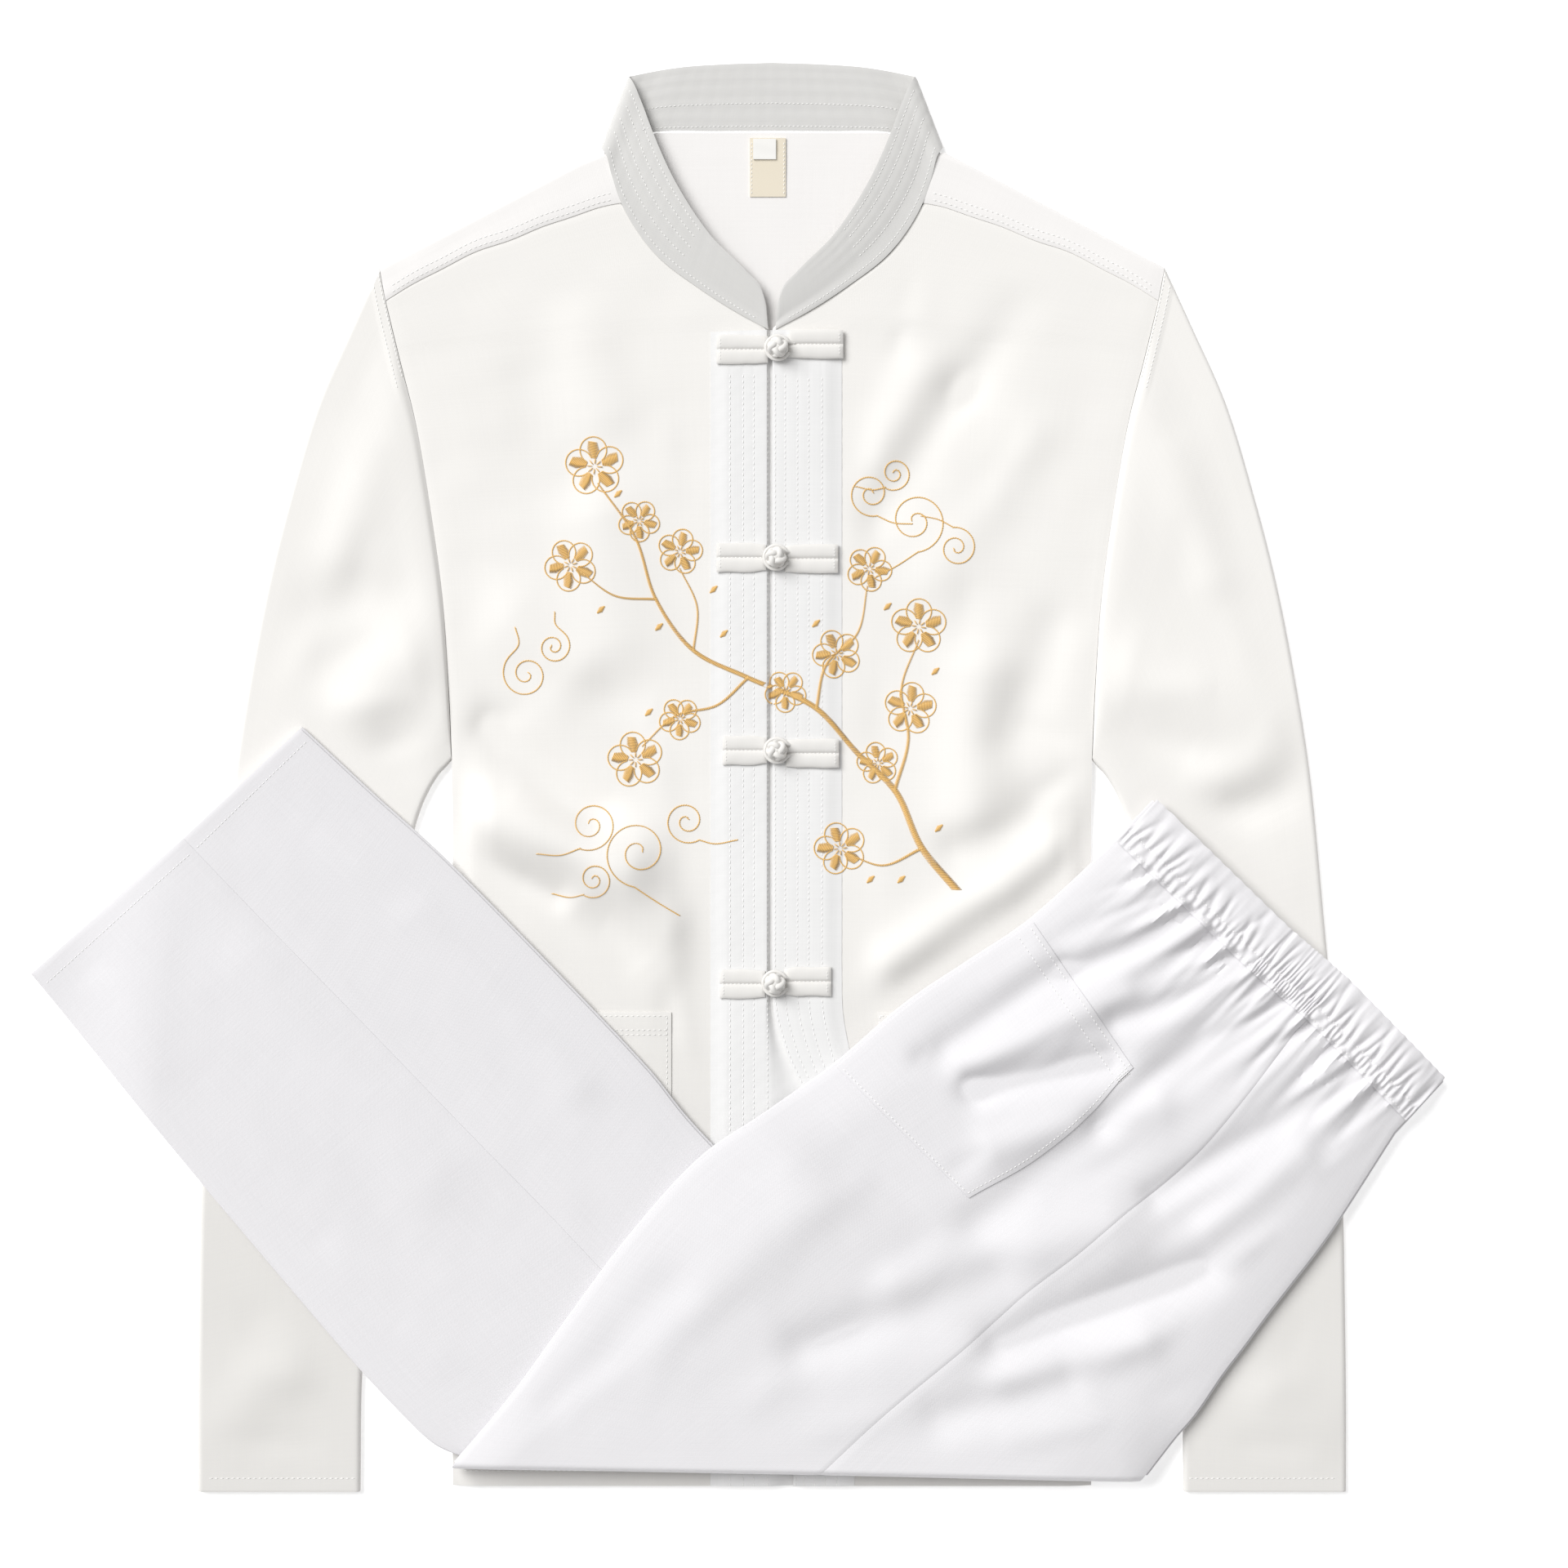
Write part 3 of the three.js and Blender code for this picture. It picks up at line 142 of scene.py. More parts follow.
frontSections = [  # inner x, inner y, side y, place on the armhole, bow, swing of the lap
    (0, -416, -416, 7, 0, 12), (0, -345, -345, 7, 0, 16), (0, -277, -277, 7, 0, 18),
    (0, -215, -215, 7, 0, 18), (0, -185, -185, 7, 0, 17.5), (0, -162, -162, 7, 0, 8),
    (0, -138, -138, 7, 0, 1), (0, -115, -115, 7, 0, 0), (0, -90, -90, 7, 0, 0),
    (0, -65, -65, 7, 0, 0), (0, -42, -42, 7, 0, 0), (0, -18, -18, 7, 0, 0),
    (0, 8, 10, 7, 0, 0), (0, 32, 10, 6.5, 0, 0), (0, 57, 10, 6, 0, 0), (0, 84, 10, 5.5, 0, 0),
    (0, 111, 10, 5, 0, 0), (0, 138, 10, 4.5, 0, 0), (0, 166, 10, 4, 1, 0),
    (0, 192, 10, 3.5, 1, 0), (0, 216, 10, 3, 2, 0), (0, 240, 10, 2.5, 2, 0),
    (0, 262, 10, 2, 3, 0), (19.2, 271.7, 10, 1.8, 3, 0), (45.6, 288.5, 10, 1.5, 4, 0),
    (69.6, 307.7, 10, 1.2, 5, 0), (88.8, 336.5, 10, 1, 6, 0)]
neckRow, armpitRow, seamRow = 22, 12, 26

jacketFolds = [  # from x, y, to x, y, half width, rise; x counts from the jacket's centre line
    (144, 279, 113, 226, 13, -2.2), (113, 226, 58, 150, 15, -2.6), (88, 236, 62, 188, 14, 2.6),
    (150, 200, 96, 120, 16, 2.0), (166, 87, 137, 24, 16, -2.4), (122, 60, 118, -20, 22, 4.2),
    (166, -52, 76, -112, 17, 6.2), (150, -26, 108, -42, 12, -2.2), (-168, 29, -104, -20, 15, -2.8),
    (-172, -26, -84, -50, 20, 6.8), (-178, -6, -58, -84, 18, 3.2), (-174, -52, -128, -70, 9, -3.0),
    (-150, 92, -118, 62, 20, 3.2), (-104, 148, -92, 84, 24, 3.0),
    (-92, -62, -60, -108, 17, 2.4), (-140, 232, -128, 176, 20, -1.8), (-112, 268, -96, 216, 18, 2.2),
    (-212, 66, -282, 4, 20, 5.0), (-216, 108, -268, 98, 18, -2.2), (-232, 190, -252, 132, 16, 2.8),
    (-236, -24, -296, -62, 16, 2.4), (208, 62, 286, 26, 20, 5.2), (226, -36, 300, -12, 12, -3.4),
    (224, -14, 296, 12, 14, 3.6),
    (232, 186, 258, 118, 16, 2.8), (246, -62, 300, -66, 16, 2.2), (-262, -330, -318, -372, 18, 2.0),
    (268, -350, 322, -386, 18, 2.0)]

jacketCreases = [  # the same columns, fading at both ends
    (86, 330, 82, 300, 5, -1.0), (82, 302, 77, 270, 5, -1.1), (77, 268, 71, 240, 5, -0.9),
    (92, 300, 88, 262, 6, 0.7), (-92, 336, -76, 298, 6, -1.5), (-84, 322, -70, 282, 5, 0.8),
    (149, 210, 105, 142, 9, -1.3), (130, 236, 92, 178, 7, 0.9), (-138, 62, -70, 38, 11, -1.5),
    (-150, 4, -92, -34, 8, -1.3), (-160, -12, -110, -28, 7, 1.1), (-52, -124, -42, -188, 7, 1.5),
    (-64, -118, -56, -176, 6, -0.9), (186, 6, 148, -14, 6, -1.3), (184, 18, 142, 34, 6, -1.1),
    (-186, 10, -148, -10, 6, -1.3), (-184, 24, -138, 44, 6, -1.0), (178, -8, 140, -40, 7, 0.9),
    (140, -74, 88, -104, 8, -1.6), (156, -84, 110, -120, 7, 1.2), (118, 120, 108, 60, 9, -1.0),
    (-70, 30, -58, -40, 9, 0.8), (-120, 200, -112, 150, 10, -0.8), (-62, 220, -58, 160, 9, 0.6),
    (-110, -70, -74, -112, 9, -2.0), (-146, -60, -96, -84, 8, 1.6), (60, 60, 66, 10, 9, -0.7),
    (62, -30, 74, -88, 10, 0.9), (128, -100, 96, -128, 6, -1.2)]

sleeveSections = [  # outer fold x, y, inner fold x, y, height
    (230.4, 299.0, 187.7, 10, frontTop), (246.2, 264.5, 191.0, 6, 5.9), (266.4, 218.9, 195.5, 1, 6.3),
    (283.2, 163.7, 200.5, -7, 6.5), (296.6, 110.9, 205.5, -18, 6.5), (308.2, 50.9, 210.0, -33, 6.3),
    (316.8, -6.7, 214.0, -58, 6.0), (324.0, -83.5, 218.0, -105, 6.0), (331.2, -162.7, 223.5, -160, 6.0),
    (335.0, -241.9, 230.0, -222, 6.0), (336.5, -320, 236.5, -293, 6.0), (337.0, -370, 240.5, -352, 6.0),
    (337.0, -410, 241.3, -406, 5.8), (337.0, -419.5, 241.4, -419.5, 5.6)]

sleeveCreases = [
    (-196, 30, -252, 4, 7, -1.6), (-200, 46, -262, 40, 7, 1.3), (-206, 6, -262, -26, 7, -1.4),
    (-214, -30, -270, -70, 7, 1.2), (-236, 150, -250, 90, 9, -1.2), (-262, 96, -292, 40, 9, 1.1),
    (-222, 236, -240, 170, 8, -0.9), (-250, 220, -276, 150, 9, 0.8), (-228, 84, -270, 60, 8, -1.1),
    (196, 34, 250, 12, 7, -1.6), (202, 52, 262, 50, 7, 1.3), (206, 4, 262, -14, 7, -1.4),
    (214, -24, 276, -34, 7, 1.4), (236, 156, 252, 92, 9, -1.2), (264, 100, 294, 44, 9, 1.1),
    (224, 240, 242, 172, 8, -0.9), (252, 222, 280, 156, 9, 0.8), (236, -60, 300, -84, 8, -1.4),
    (-250, -300, -318, -318, 9, -1.2), (-258, -356, -322, -344, 8, 0.9), (-262, -392, -330, -388, 6, -0.7),
    (256, -296, 318, -330, 9, -1.2), (262, -362, 326, -352, 8, 0.9), (262, -390, 330, -394, 6, -0.7)]

collarSections = [  # neck seam x, y, z, top edge x, y, z
    (2.3, 263.2, 5.1, 3.4, 277.0, 7.0), (6.0, 265.2, 5.1, 5.6, 285.0, 7.6),
    (19.0, 272.3, 5.1, 14.4, 295.7, 8.2), (45.3, 289.2, 5.1, 36.0, 317.3, 8.6),
    (69.2, 308.4, 5.1, 55.2, 346.1, 8.8), (88.0, 337.0, 5.1, 69.6, 377.3, 7.6),
    (93.8, 354.0, 5.1, 76.6, 396.0, 6.2), (97.6, 366.6, 5.1, 82.0, 408.2, 5.2),
    (99.2, 368.8, 4.2, 83.4, 410.2, 4.3), (99.8, 369.8, 2.8, 84.0, 411.0, 2.8),
    (99.0, 370.2, 1.4, 83.2, 411.4, 1.4), (95.0, 371.6, 0.6, 79.0, 412.4, 0.6),
    (68.2, 379.0, 0.6, 55.2, 416.6, 0.6), (34.0, 379.6, 0.6, 28.0, 418.6, 0.6),
    (0.0, 379.8, 0.6, 0.0, 419.5, 0.6)]

thighSections = [  # front fold x, y, pocket edge x, y, outseam x, y, back fold x, y
    (215, -45, 291, -119, 326, -149, 384, -208), (172, -84, 231, -170, 292, -193, 352, -258),
    (135, -109, 205, -198, 270, -219, 338, -278), (98, -134, 172, -225, 247, -240, 324, -296),
    (57, -169, 135, -246, 224, -257, 310, -314), (20, -195, 105, -266, 197, -280, 296, -333),
    (-21, -223, 72, -287, 171, -300, 283, -350), (-62, -268, 36, -316, 142, -325, 268, -372),
    (-98, -316, -2, -348, 112, -350, 255, -387), (-130, -360, -38, -377, 82, -375, 246, -398),
    (-164, -400, -68, -402, 51, -404, 238, -408)]
shinSections = [  # front fold x, y, outseam x, y, back fold x, y
    (-414, -115, -324, -36, -256, 28), (-366, -173, -275, -87, -213, -12),
    (-318, -231, -222, -141, -170, -51), (-270, -288, -165, -200, -107, -115),
    (-222, -344, -114, -252, -54, -171), (-194, -374, -76, -292, -16, -216),
    (-177, -390, -30, -340, 94, -324), (-163, -397, 22, -399, 205, -402)]

thighFolds = [
    (244, -62, 183, -94, 7, -3.2), (267, -87, 196, -113, 8, -4.6), (188, -112, 122, -156, 10, -4.4),
    (216, -166, 140, -182, 11, -5.6), (140, -182, 108, -164, 9, -3.6), (290, -118, 221, -143, 8, -4.2),
    (288, -140, 211, -203, 9, -4.8), (211, -203, 140, -262, 13, -3.4), (336, -188, 244, -245, 9, -4.2),
    (150, -288, 40, -334, 15, -4.6), (272, -288, 152, -331, 13, -6.0), (190, -352, 118, -374, 13, -3.6),
    (226, -126, 132, -172, 9, 3.4), (244, -190, 150, -216, 12, 3.6), (216, -262, 96, -300, 17, 4.4),
    (236, -330, 156, -352, 12, 3.2), (34, -250, -44, -330, 22, 3.2), (330, -222, 276, -262, 10, 2.8),
    (-40, -300, -108, -362, 18, -2.4)]
shinFolds = [(-284, -110, -180, -230, 24, 2.4), (-186, -84, -96, -180, 14, 1.8),
             (-330, -190, -250, -270, 16, -1.6)]
thighCreases = [
    (180, -98, 120, -132, 6, 1.1), (150, -120, 92, -158, 7, -1.1), (240, -214, 176, -248, 7, -1.3),
    (300, -236, 232, -276, 7, -1.6), (318, -262, 262, -300, 6, 1.3), (252, -262, 190, -298, 8, 1.2),
    (120, -262, 60, -300, 9, -1.1), (84, -228, 20, -270, 9, 1.0), (178, -316, 100, -346, 8, 1.4),
    (262, -318, 206, -342, 7, 1.4), (220, -374, 150, -388, 7, 1.2), (100, -366, 30, -388, 9, 1.1),
    (10, -300, -52, -350, 10, -1.2), (56, -336, -10, -374, 9, 1.0), (-60, -340, -120, -384, 8, 1.0),
    (290, -346, 236, -368, 6, -1.2), (150, -214, 118, -236, 5, -0.8), (196, -150, 168, -176, 5, 0.9)]
shinCreases = [
    (-380, -110, -316, -180, 9, 0.8), (-300, -60, -230, -140, 8, -0.8), (-330, -150, -250, -240, 10, 0.8),
    (-250, -30, -190, -90, 9, 0.9), (-232, -220, -176, -300, 9, -0.8), (-160, -130, -90, -206, 9, -0.7),
    (-120, -220, -70, -280, 8, 0.7), (-396, -128, -370, -104, 6, -0.6), (-200, -320, -160, -352, 8, 0.8)]


def armholeAt(place):
    place = np.asarray(place, float)
    return column([p[0] for p in armhole], place), column([p[1] for p in armhole], place)


def rail(sections, k):
    return [(row[2 * k], row[2 * k + 1]) for row in sections]


band = {"reach": 44.0, "outX": 0.69, "outY": 0.72, "thick": 1.6, "clear": 0.5, "gathers": 34}
waistRow = thighSections[0]
bandCorners = [(waistRow[k] + band["reach"] * band["outX"], waistRow[k + 1] + band["reach"] * band["outY"])
               for k in (6, 0)]
shinOutline = rail(shinSections, 0) + rail(shinSections, 2)[::-1]
thighOutline = rail(thighSections, 0) + rail(thighSections, 3)[::-1] + bandCorners


def coverAt(x, y):
    # 1 where the trousers press the jacket flat
    away = np.minimum(outsideDistance(shinOutline, x, y), outsideDistance(thighOutline, x, y))
    return 1 - smooth(6, 34, away)


def jacketSupport(x, y):
    rows = np.array(sleeveSections)
    outer = np.interp(-np.asarray(y, float), -rows[:, 1], rows[:, 0])
    return topLevel * (1 - smooth(26, 92, np.abs(x - centreX) - outer))


shinThick, thighThick = 5.0, 7.5
shinPlane = topLevel + shinThick + gap + legCloth + gap


def thighSupport(x, y):
    return lerp(jacketSupport(x, y), shinPlane, 1 - smooth(18, 62, outsideDistance(shinOutline, x, y)))


# Meshes
sharpAngle = math.radians(42)


def addObject(name, data):
    piece = bpy.data.objects.new(name, data)
    bpy.context.scene.collection.objects.link(piece)
    return piece


def newObject(name, points, faces, uvs, material):
    mesh = bpy.data.meshes.new(name)
    used, packed = np.unique(faces, return_inverse=True)
    mesh.from_pydata((points[used] * metre).tolist(), [], packed.reshape(faces.shape).tolist())
    layer = mesh.uv_layers.new(name="clothUv")
    layer.data.foreach_set("uv", (uvs.reshape(-1, 2) * metre).ravel())
    mesh.polygons.foreach_set("use_smooth", [True] * len(mesh.polygons))
    mesh.set_sharp_from_angle(angle=sharpAngle)
    mesh.materials.append(material)
    mesh.validate()
    mesh.update()
    return addObject(name, mesh)


def facingOut(points, faces, uvs):
    # a closed form's faces, turned round if they look inwards
    a, b, c = (points[faces[:, k]] for k in (0, 1, 2))
    if np.einsum("ij,ij->i", a, np.cross(b, c)).sum() < 0:
        faces, uvs = faces[:, ::-1], uvs[:, ::-1]
    return faces, uvs


def clothWall(name, top, bottom, material, closed=False, keep=None, pinch=0.28):
    # a wall between two grids of points, joined round its edges, which are pinched as a seam is
    rows, columns = top.shape[:2]
    span = columns if closed else columns - 1
    has = np.ones((rows - 1, span), bool) if keep is None else keep
    top, bottom = top.copy(), bottom.copy()
    middle = (top + bottom) / 2
    share = min(0.9, 2 * pinch / cloth)
    for edge in (0, -1):
        for face in (top, bottom):
            face[edge] = lerp(face[edge], middle[edge], share)
            if not closed:
                face[:, edge] = lerp(face[:, edge], middle[:, edge], share)
    points = np.concatenate([top.reshape(-1, 3), bottom.reshape(-1, 3)])
    # flat sizes along the rows and columns, for the weave
    wide = np.linalg.norm(np.diff(top, axis=1), axis=2).mean(axis=0)
    long = np.linalg.norm(np.diff(top, axis=0), axis=2).mean(axis=1)
    u = np.concatenate([[0], np.cumsum(wide), [wide.sum() + wide[-1]]])
    v = np.concatenate([[0], np.cumsum(long)])
    padded = np.zeros((rows + 1, span + 2), bool)
    padded[1:-1, 1:-1] = has
    if closed:
        padded[1:-1, 0], padded[1:-1, -1] = has[:, -1], has[:, 0]

    def corners(which, side):
        i, j = np.nonzero(which)
        spots = {"near": (i, j), "right": (i, j + 1), "far": (i + 1, j + 1), "left": (i + 1, j)}
        return {key: (side * rows * columns + a * columns + b % columns, np.stack([u[b], v[a]], -1))
                for key, (a, b) in spots.items()}

    faces, uvs = [], []

    def quads(*keys):
        faces.append(np.stack([key[0] for key in keys], -1))
        uvs.append(np.stack([key[1] for key in keys], 1))

    upper, lower = corners(has, 0), corners(has, 1)
    quads(*(upper[key] for key in ("near", "right", "far", "left")))
    quads(*(lower[key] for key in ("near", "left", "far", "right")))
    for down, aside, one, two in ((-1, 0, "near", "right"), (1, 0, "far", "left"),
                                  (0, -1, "left", "near"), (0, 1, "right", "far")):
        beside = padded[1 + down:rows + down, 1 + aside:span + 1 + aside]
        upper, lower = corners(has & ~beside, 0), corners(has & ~beside, 1)
        quads(lower[one], lower[two], upper[two], upper[one])
    return newObject(name, points, *facingOut(points, np.concatenate(faces), np.concatenate(uvs)), material)


def grid(x, y, z):
    return np.stack(np.broadcast_arrays(x, y, z), -1)


def lifted(points, rise):
    moved = points.copy()
    moved[..., 2] += rise
    return moved


# Materials
def setInputs(node, values):
    for key, value in values.items():
        node.inputs[key].default_value = value


def groupNode(tree, kind, place=(0, 0), inputs=None, **settings):
    node = tree.nodes.new(kind)
    node.location = place
    for key, value in settings.items():
        setattr(node, key, value)
    setInputs(node, inputs or {})
    return node


def socket(tree, name, kind, way="INPUT", value=None):
    added = tree.interface.new_socket(name, in_out=way, socket_type=kind)
    if value is not None:
        added.default_value = value


def mathNode(tree, operation, first, second=None, place=(0, 0)):
    node = groupNode(tree, "ShaderNodeMath", place, operation=operation)
    for k, value in enumerate((first, second)):
        if isinstance(value, (int, float)):
            node.inputs[k].default_value = value
        elif value is not None:
            tree.links.new(value, node.inputs[k])
    return node.outputs[0]


def noiseNode(tree, place, vector, scale, detail):
    noise = groupNode(tree, "ShaderNodeTexNoise", place, {"Scale": scale, "Detail": detail})
    tree.links.new(vector, noise.inputs["Vector"])
    return noise.outputs[0]


def weaveGroup():
    # plain weave of uneven yarns: a height for the bump, and a tone for slubs and yarn ends
    tree = bpy.data.node_groups.new("linenWeave", "ShaderNodeTree")
    link = tree.links.new
    socket(tree, "Vector", "NodeSocketVector")
    for name, value in (("Threads per metre", 1500), ("Slub", 0.5), ("Tone spread", 0.03), ("Crepe", 0.0)):
        socket(tree, name, "NodeSocketFloat", value=value)
    for name in ("Height", "Tone"):
        socket(tree, name, "NodeSocketFloat", "OUTPUT")
    given = groupNode(tree, "NodeGroupInput", (-900, 0))
    out = groupNode(tree, "NodeGroupOutput", (700, 0))
    split = groupNode(tree, "ShaderNodeSeparateXYZ", (-700, 0))
    link(given.outputs["Vector"], split.inputs[0])
    yarns, slubs = [], []
    for k, stretch in enumerate(((9, 420, 1), (420, 9, 1))):
        y = 200 - 400 * k
        mapping = groupNode(tree, "ShaderNodeMapping", (-700, y), {"Scale": stretch})
        link(given.outputs["Vector"], mapping.inputs["Vector"])
        noise = noiseNode(tree, (-500, y), mapping.outputs[0], 2.2, 3)
        slubs.append(mathNode(tree, "SUBTRACT", noise, 0.5, (-300, y)))
        turns = mathNode(tree, "MULTIPLY", split.outputs[k], given.outputs["Threads per metre"], (-300, y - 60))
        waver = mathNode(tree, "MULTIPLY", slubs[k], 0.9, (-300, y - 120))
        phase = mathNode(tree, "ADD", turns, waver, (-150, y - 60))
        angle = mathNode(tree, "MULTIPLY", phase, math.pi, (0, y - 60))
        yarns.append(mathNode(tree, "SINE", angle, None, (100, y - 60)))
    crossing = mathNode(tree, "MULTIPLY", yarns[0], yarns[1], (250, 0))
    slub = mathNode(tree, "MULTIPLY", mathNode(tree, "ADD", slubs[0], slubs[1], (100, 200)),
                    given.outputs["Slub"], (250, 200))
    grain = noiseNode(tree, (250, -300), given.outputs["Vector"], 1100, 2)
    crepe = mathNode(tree, "MULTIPLY", grain, given.outputs["Crepe"], (400, -200))
    woven = mathNode(tree, "ADD", mathNode(tree, "MULTIPLY", crossing, 0.35, (400, 0)), crepe, (480, -60))
    link(mathNode(tree, "ADD", woven, slub, (550, 0)), out.inputs["Height"])
    tone = mathNode(tree, "MULTIPLY", slub, given.outputs["Tone spread"], (400, 200))
    link(mathNode(tree, "ADD", tone, 1.0, (550, 200)), out.inputs["Tone"])
    return tree


def wearAndShadeGroup():
    # slow change of tone over the cloth, as after washing and pressing, and painted shade: a greyer tone lower down
    # the cloth, towards the hem and the cuffs
    tree = bpy.data.node_groups.new("washedToneAndPaintedShade", "ShaderNodeTree")
    link = tree.links.new
    socket(tree, "Colour", "NodeSocketColor", value=(1, 1, 1, 1))
    for name, value in (("Spread", 0.04), ("Tone", 1.0), ("Painted shade low", 1.0)):
        socket(tree, name, "NodeSocketFloat", value=value)
    socket(tree, "Colour", "NodeSocketColor", "OUTPUT")
    given = groupNode(tree, "NodeGroupInput", (-600, 0))
    out = groupNode(tree, "NodeGroupOutput", (500, 0))
    coords = groupNode(tree, "ShaderNodeTexCoord", (-600, -200))
    noise = noiseNode(tree, (-400, -200), coords.outputs["Object"], 14, 4)
    centred = mathNode(tree, "SUBTRACT", noise, 0.5, (-200, -200))
    spread = mathNode(tree, "MULTIPLY", centred, given.outputs["Spread"], (-50, -200))
    tone = mathNode(tree, "MULTIPLY", mathNode(tree, "ADD", spread, 1.0, (80, -200)),
                    given.outputs["Tone"], (200, -200))
    # painted shade: the colour darkens from the middle of the suit down towards the hem and the cuffs
    split = groupNode(tree, "ShaderNodeSeparateXYZ", (-400, -420))
    link(coords.outputs["Object"], split.inputs[0])
    down = groupNode(tree, "ShaderNodeMapRange", (-200, -420),
                     {"From Min": 0.0, "From Max": -0.30, "To Min": 1.0}, interpolation_type="SMOOTHSTEP")
    link(split.outputs["Y"], down.inputs["Value"])
    link(given.outputs["Painted shade low"], down.inputs["To Max"])
    tone = mathNode(tree, "MULTIPLY", tone, down.outputs[0], (260, -300))
    scale = groupNode(tree, "ShaderNodeVectorMath", (330, 0), operation="SCALE")
    link(given.outputs["Colour"], scale.inputs[0])
    link(tone, scale.inputs["Scale"])
    link(scale.outputs[0], out.inputs[0])
    return tree


linenWeave, washedToneAndPaintedShade = weaveGroup(), wearAndShadeGroup()


def newMaterial(name, values):
    material = bpy.data.materials.new(name)
    material.use_nodes = True
    shader = material.node_tree.nodes["Principled BSDF"]
    setInputs(shader, values)
    return material, material.node_tree, shader


def dress(tree, shader, colour, spread, height, relief, depth, paintedShadeLow=1.0):
    # the washed colour, with painted shade lower down where it is asked for, and the bump that every cloth and thread
    # has
    wearAndShade = groupNode(tree, "ShaderNodeGroup", (-450, 150), node_tree=washedToneAndPaintedShade)
    setInputs(wearAndShade, {"Colour": (*colour, 1), "Spread": spread, "Painted shade low": paintedShadeLow})
    bump = groupNode(tree, "ShaderNodeBump", (-300, -200), {"Strength": relief, "Distance": depth})
    tree.links.new(wearAndShade.outputs[0], shader.inputs["Base Color"])
    tree.links.new(height, bump.inputs["Height"])
    tree.links.new(bump.outputs[0], shader.inputs["Normal"])
    return wearAndShade


def clothMaterial(name, colour, threads=2500, slub=0.6, toneSpread=0.05, relief=0.35, depth=0.0001,
                  roughness=0.85, sheen=0.12, spread=0.03, crepe=0.3, paintedShadeLow=1.0):
    material, tree, shader = newMaterial(name, {"Roughness": roughness, "Sheen Weight": sheen,
                                                "Sheen Roughness": 0.5, "Specular IOR Level": 0.25})
    uv = groupNode(tree, "ShaderNodeUVMap", (-900, 0), uv_map="clothUv")
    weave = groupNode(tree, "ShaderNodeGroup", (-700, 0), node_tree=linenWeave)
    setInputs(weave, {"Threads per metre": threads, "Slub": slub, "Tone spread": toneSpread, "Crepe": crepe})
    tree.links.new(uv.outputs[0], weave.inputs["Vector"])
    wearAndShade = dress(tree, shader, colour, spread, weave.outputs["Height"], relief, depth, paintedShadeLow)
    tree.links.new(weave.outputs["Tone"], wearAndShade.inputs["Tone"])
    return material


def threadMaterial(name, colour, roughness, sheen):
    material, tree, shader = newMaterial(name, {"Roughness": roughness, "Sheen Weight": sheen})
    coords = groupNode(tree, "ShaderNodeTexCoord", (-900, 0))
    noise = noiseNode(tree, (-700, 0), coords.outputs["Object"], 900, 2)
    dress(tree, shader, colour, 0.3, noise, 0.4, 0.0001)
    return material


# the jacket's colour carries painted shade, greyer towards the hem and the cuffs
jacketLinen = clothMaterial("jacketLinen", (0.845, 0.828, 0.800), paintedShadeLow=0.87)
innerLinen = clothMaterial("innerLinen", (0.86, 0.842, 0.828))
trimLinen = clothMaterial("trimLinen", (0.815, 0.812, 0.808), threads=2300, slub=0.9)
collarLinen = clothMaterial("collarLinen", (0.655, 0.648, 0.632), threads=2300, slub=0.9)
frogLinen = clothMaterial("frogLinen", (0.775, 0.76, 0.735), threads=2400, slub=0.7)
trouserLinen = clothMaterial("trouserLinen", (0.768, 0.757, 0.773), threads=2400, slub=0.8, toneSpread=0.07,
                             crepe=1.3, depth=0.0002)
tape = {"threads": 2600, "slub": 0.2, "sheen": 0.3, "roughness": 0.6}
labelWeave = clothMaterial("labelWeave", (0.78, 0.71, 0.58), **tape)
tagWeave = clothMaterial("tagWeave", (0.86, 0.85, 0.82), **tape)
goldThread = threadMaterial("goldThread", (0.80, 0.50, 0.16), 0.42, 0.3)
sewingThread = threadMaterial("sewingThread", (0.92, 0.915, 0.9), 0.6, 0.1)
print("materials made")

made = {}
sheets = []


def finishPiece(piece, nodes, flat=None, held="laid", restsOn=(), area=None):
    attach(piece, "root")
    if nodes:
        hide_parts(*nodes)
    made[piece.name] = piece
    if flat:
        sheets.append((piece, flat, held, restsOn, area))
    return piece


# Jacket fronts, plackets and pockets
front = {"lapSlope": 3.2, "sideRound": 14.0, "rowStep": 3.4, "waver": 0.28}
sides = {  # start is negative on the right, where the underlap runs past the centre line
    "right": {"sign": -1, "start": -30.0, "band": 36.0, "lapEnd": 1, "lapColumns": 12, "keepFrom": 0.99,
              "pocketFrom": 59, "stitchRows": [2.5, 10.6, 16.8, 24.5],
              "seamAt": [1, 15, 36, 59, 82, 106, 129, 152, 174, 183, bodyHalf]},
    "left": {"sign": 1, "start": 0, "band": 41.0, "lapEnd": 0, "lapColumns": 1, "keepFrom": 0,
             "pocketFrom": 61, "stitchRows": [2.0, 7.8, 15.0, 21.6, 29.4],
             "seamAt": [0, 20, 41, 61, 84, 107, 130, 152, 174, 183, bodyHalf]}}
frontTable = np.array(frontSections, float)
rowNumbers = np.arange(len(frontTable))
seamShares = [0, 0.12, 0.25, 0.37, 0.5, 0.62, 0.75, 0.84, 0.92, 0.96, 1]


def seamWaver(share):
    return 0.9 * np.sin(9.5 * share + 1) * np.sin(math.pi * share) + 0.4 * np.sin(23 * share)


def frontColumn(k, r):
    values = frontTable[:, k]
    return np.where(r <= neckRow, column(values[:neckRow + 1], np.minimum(r, neckRow)),
                    column(values[neckRow:], np.maximum(r - neckRow, 0)))


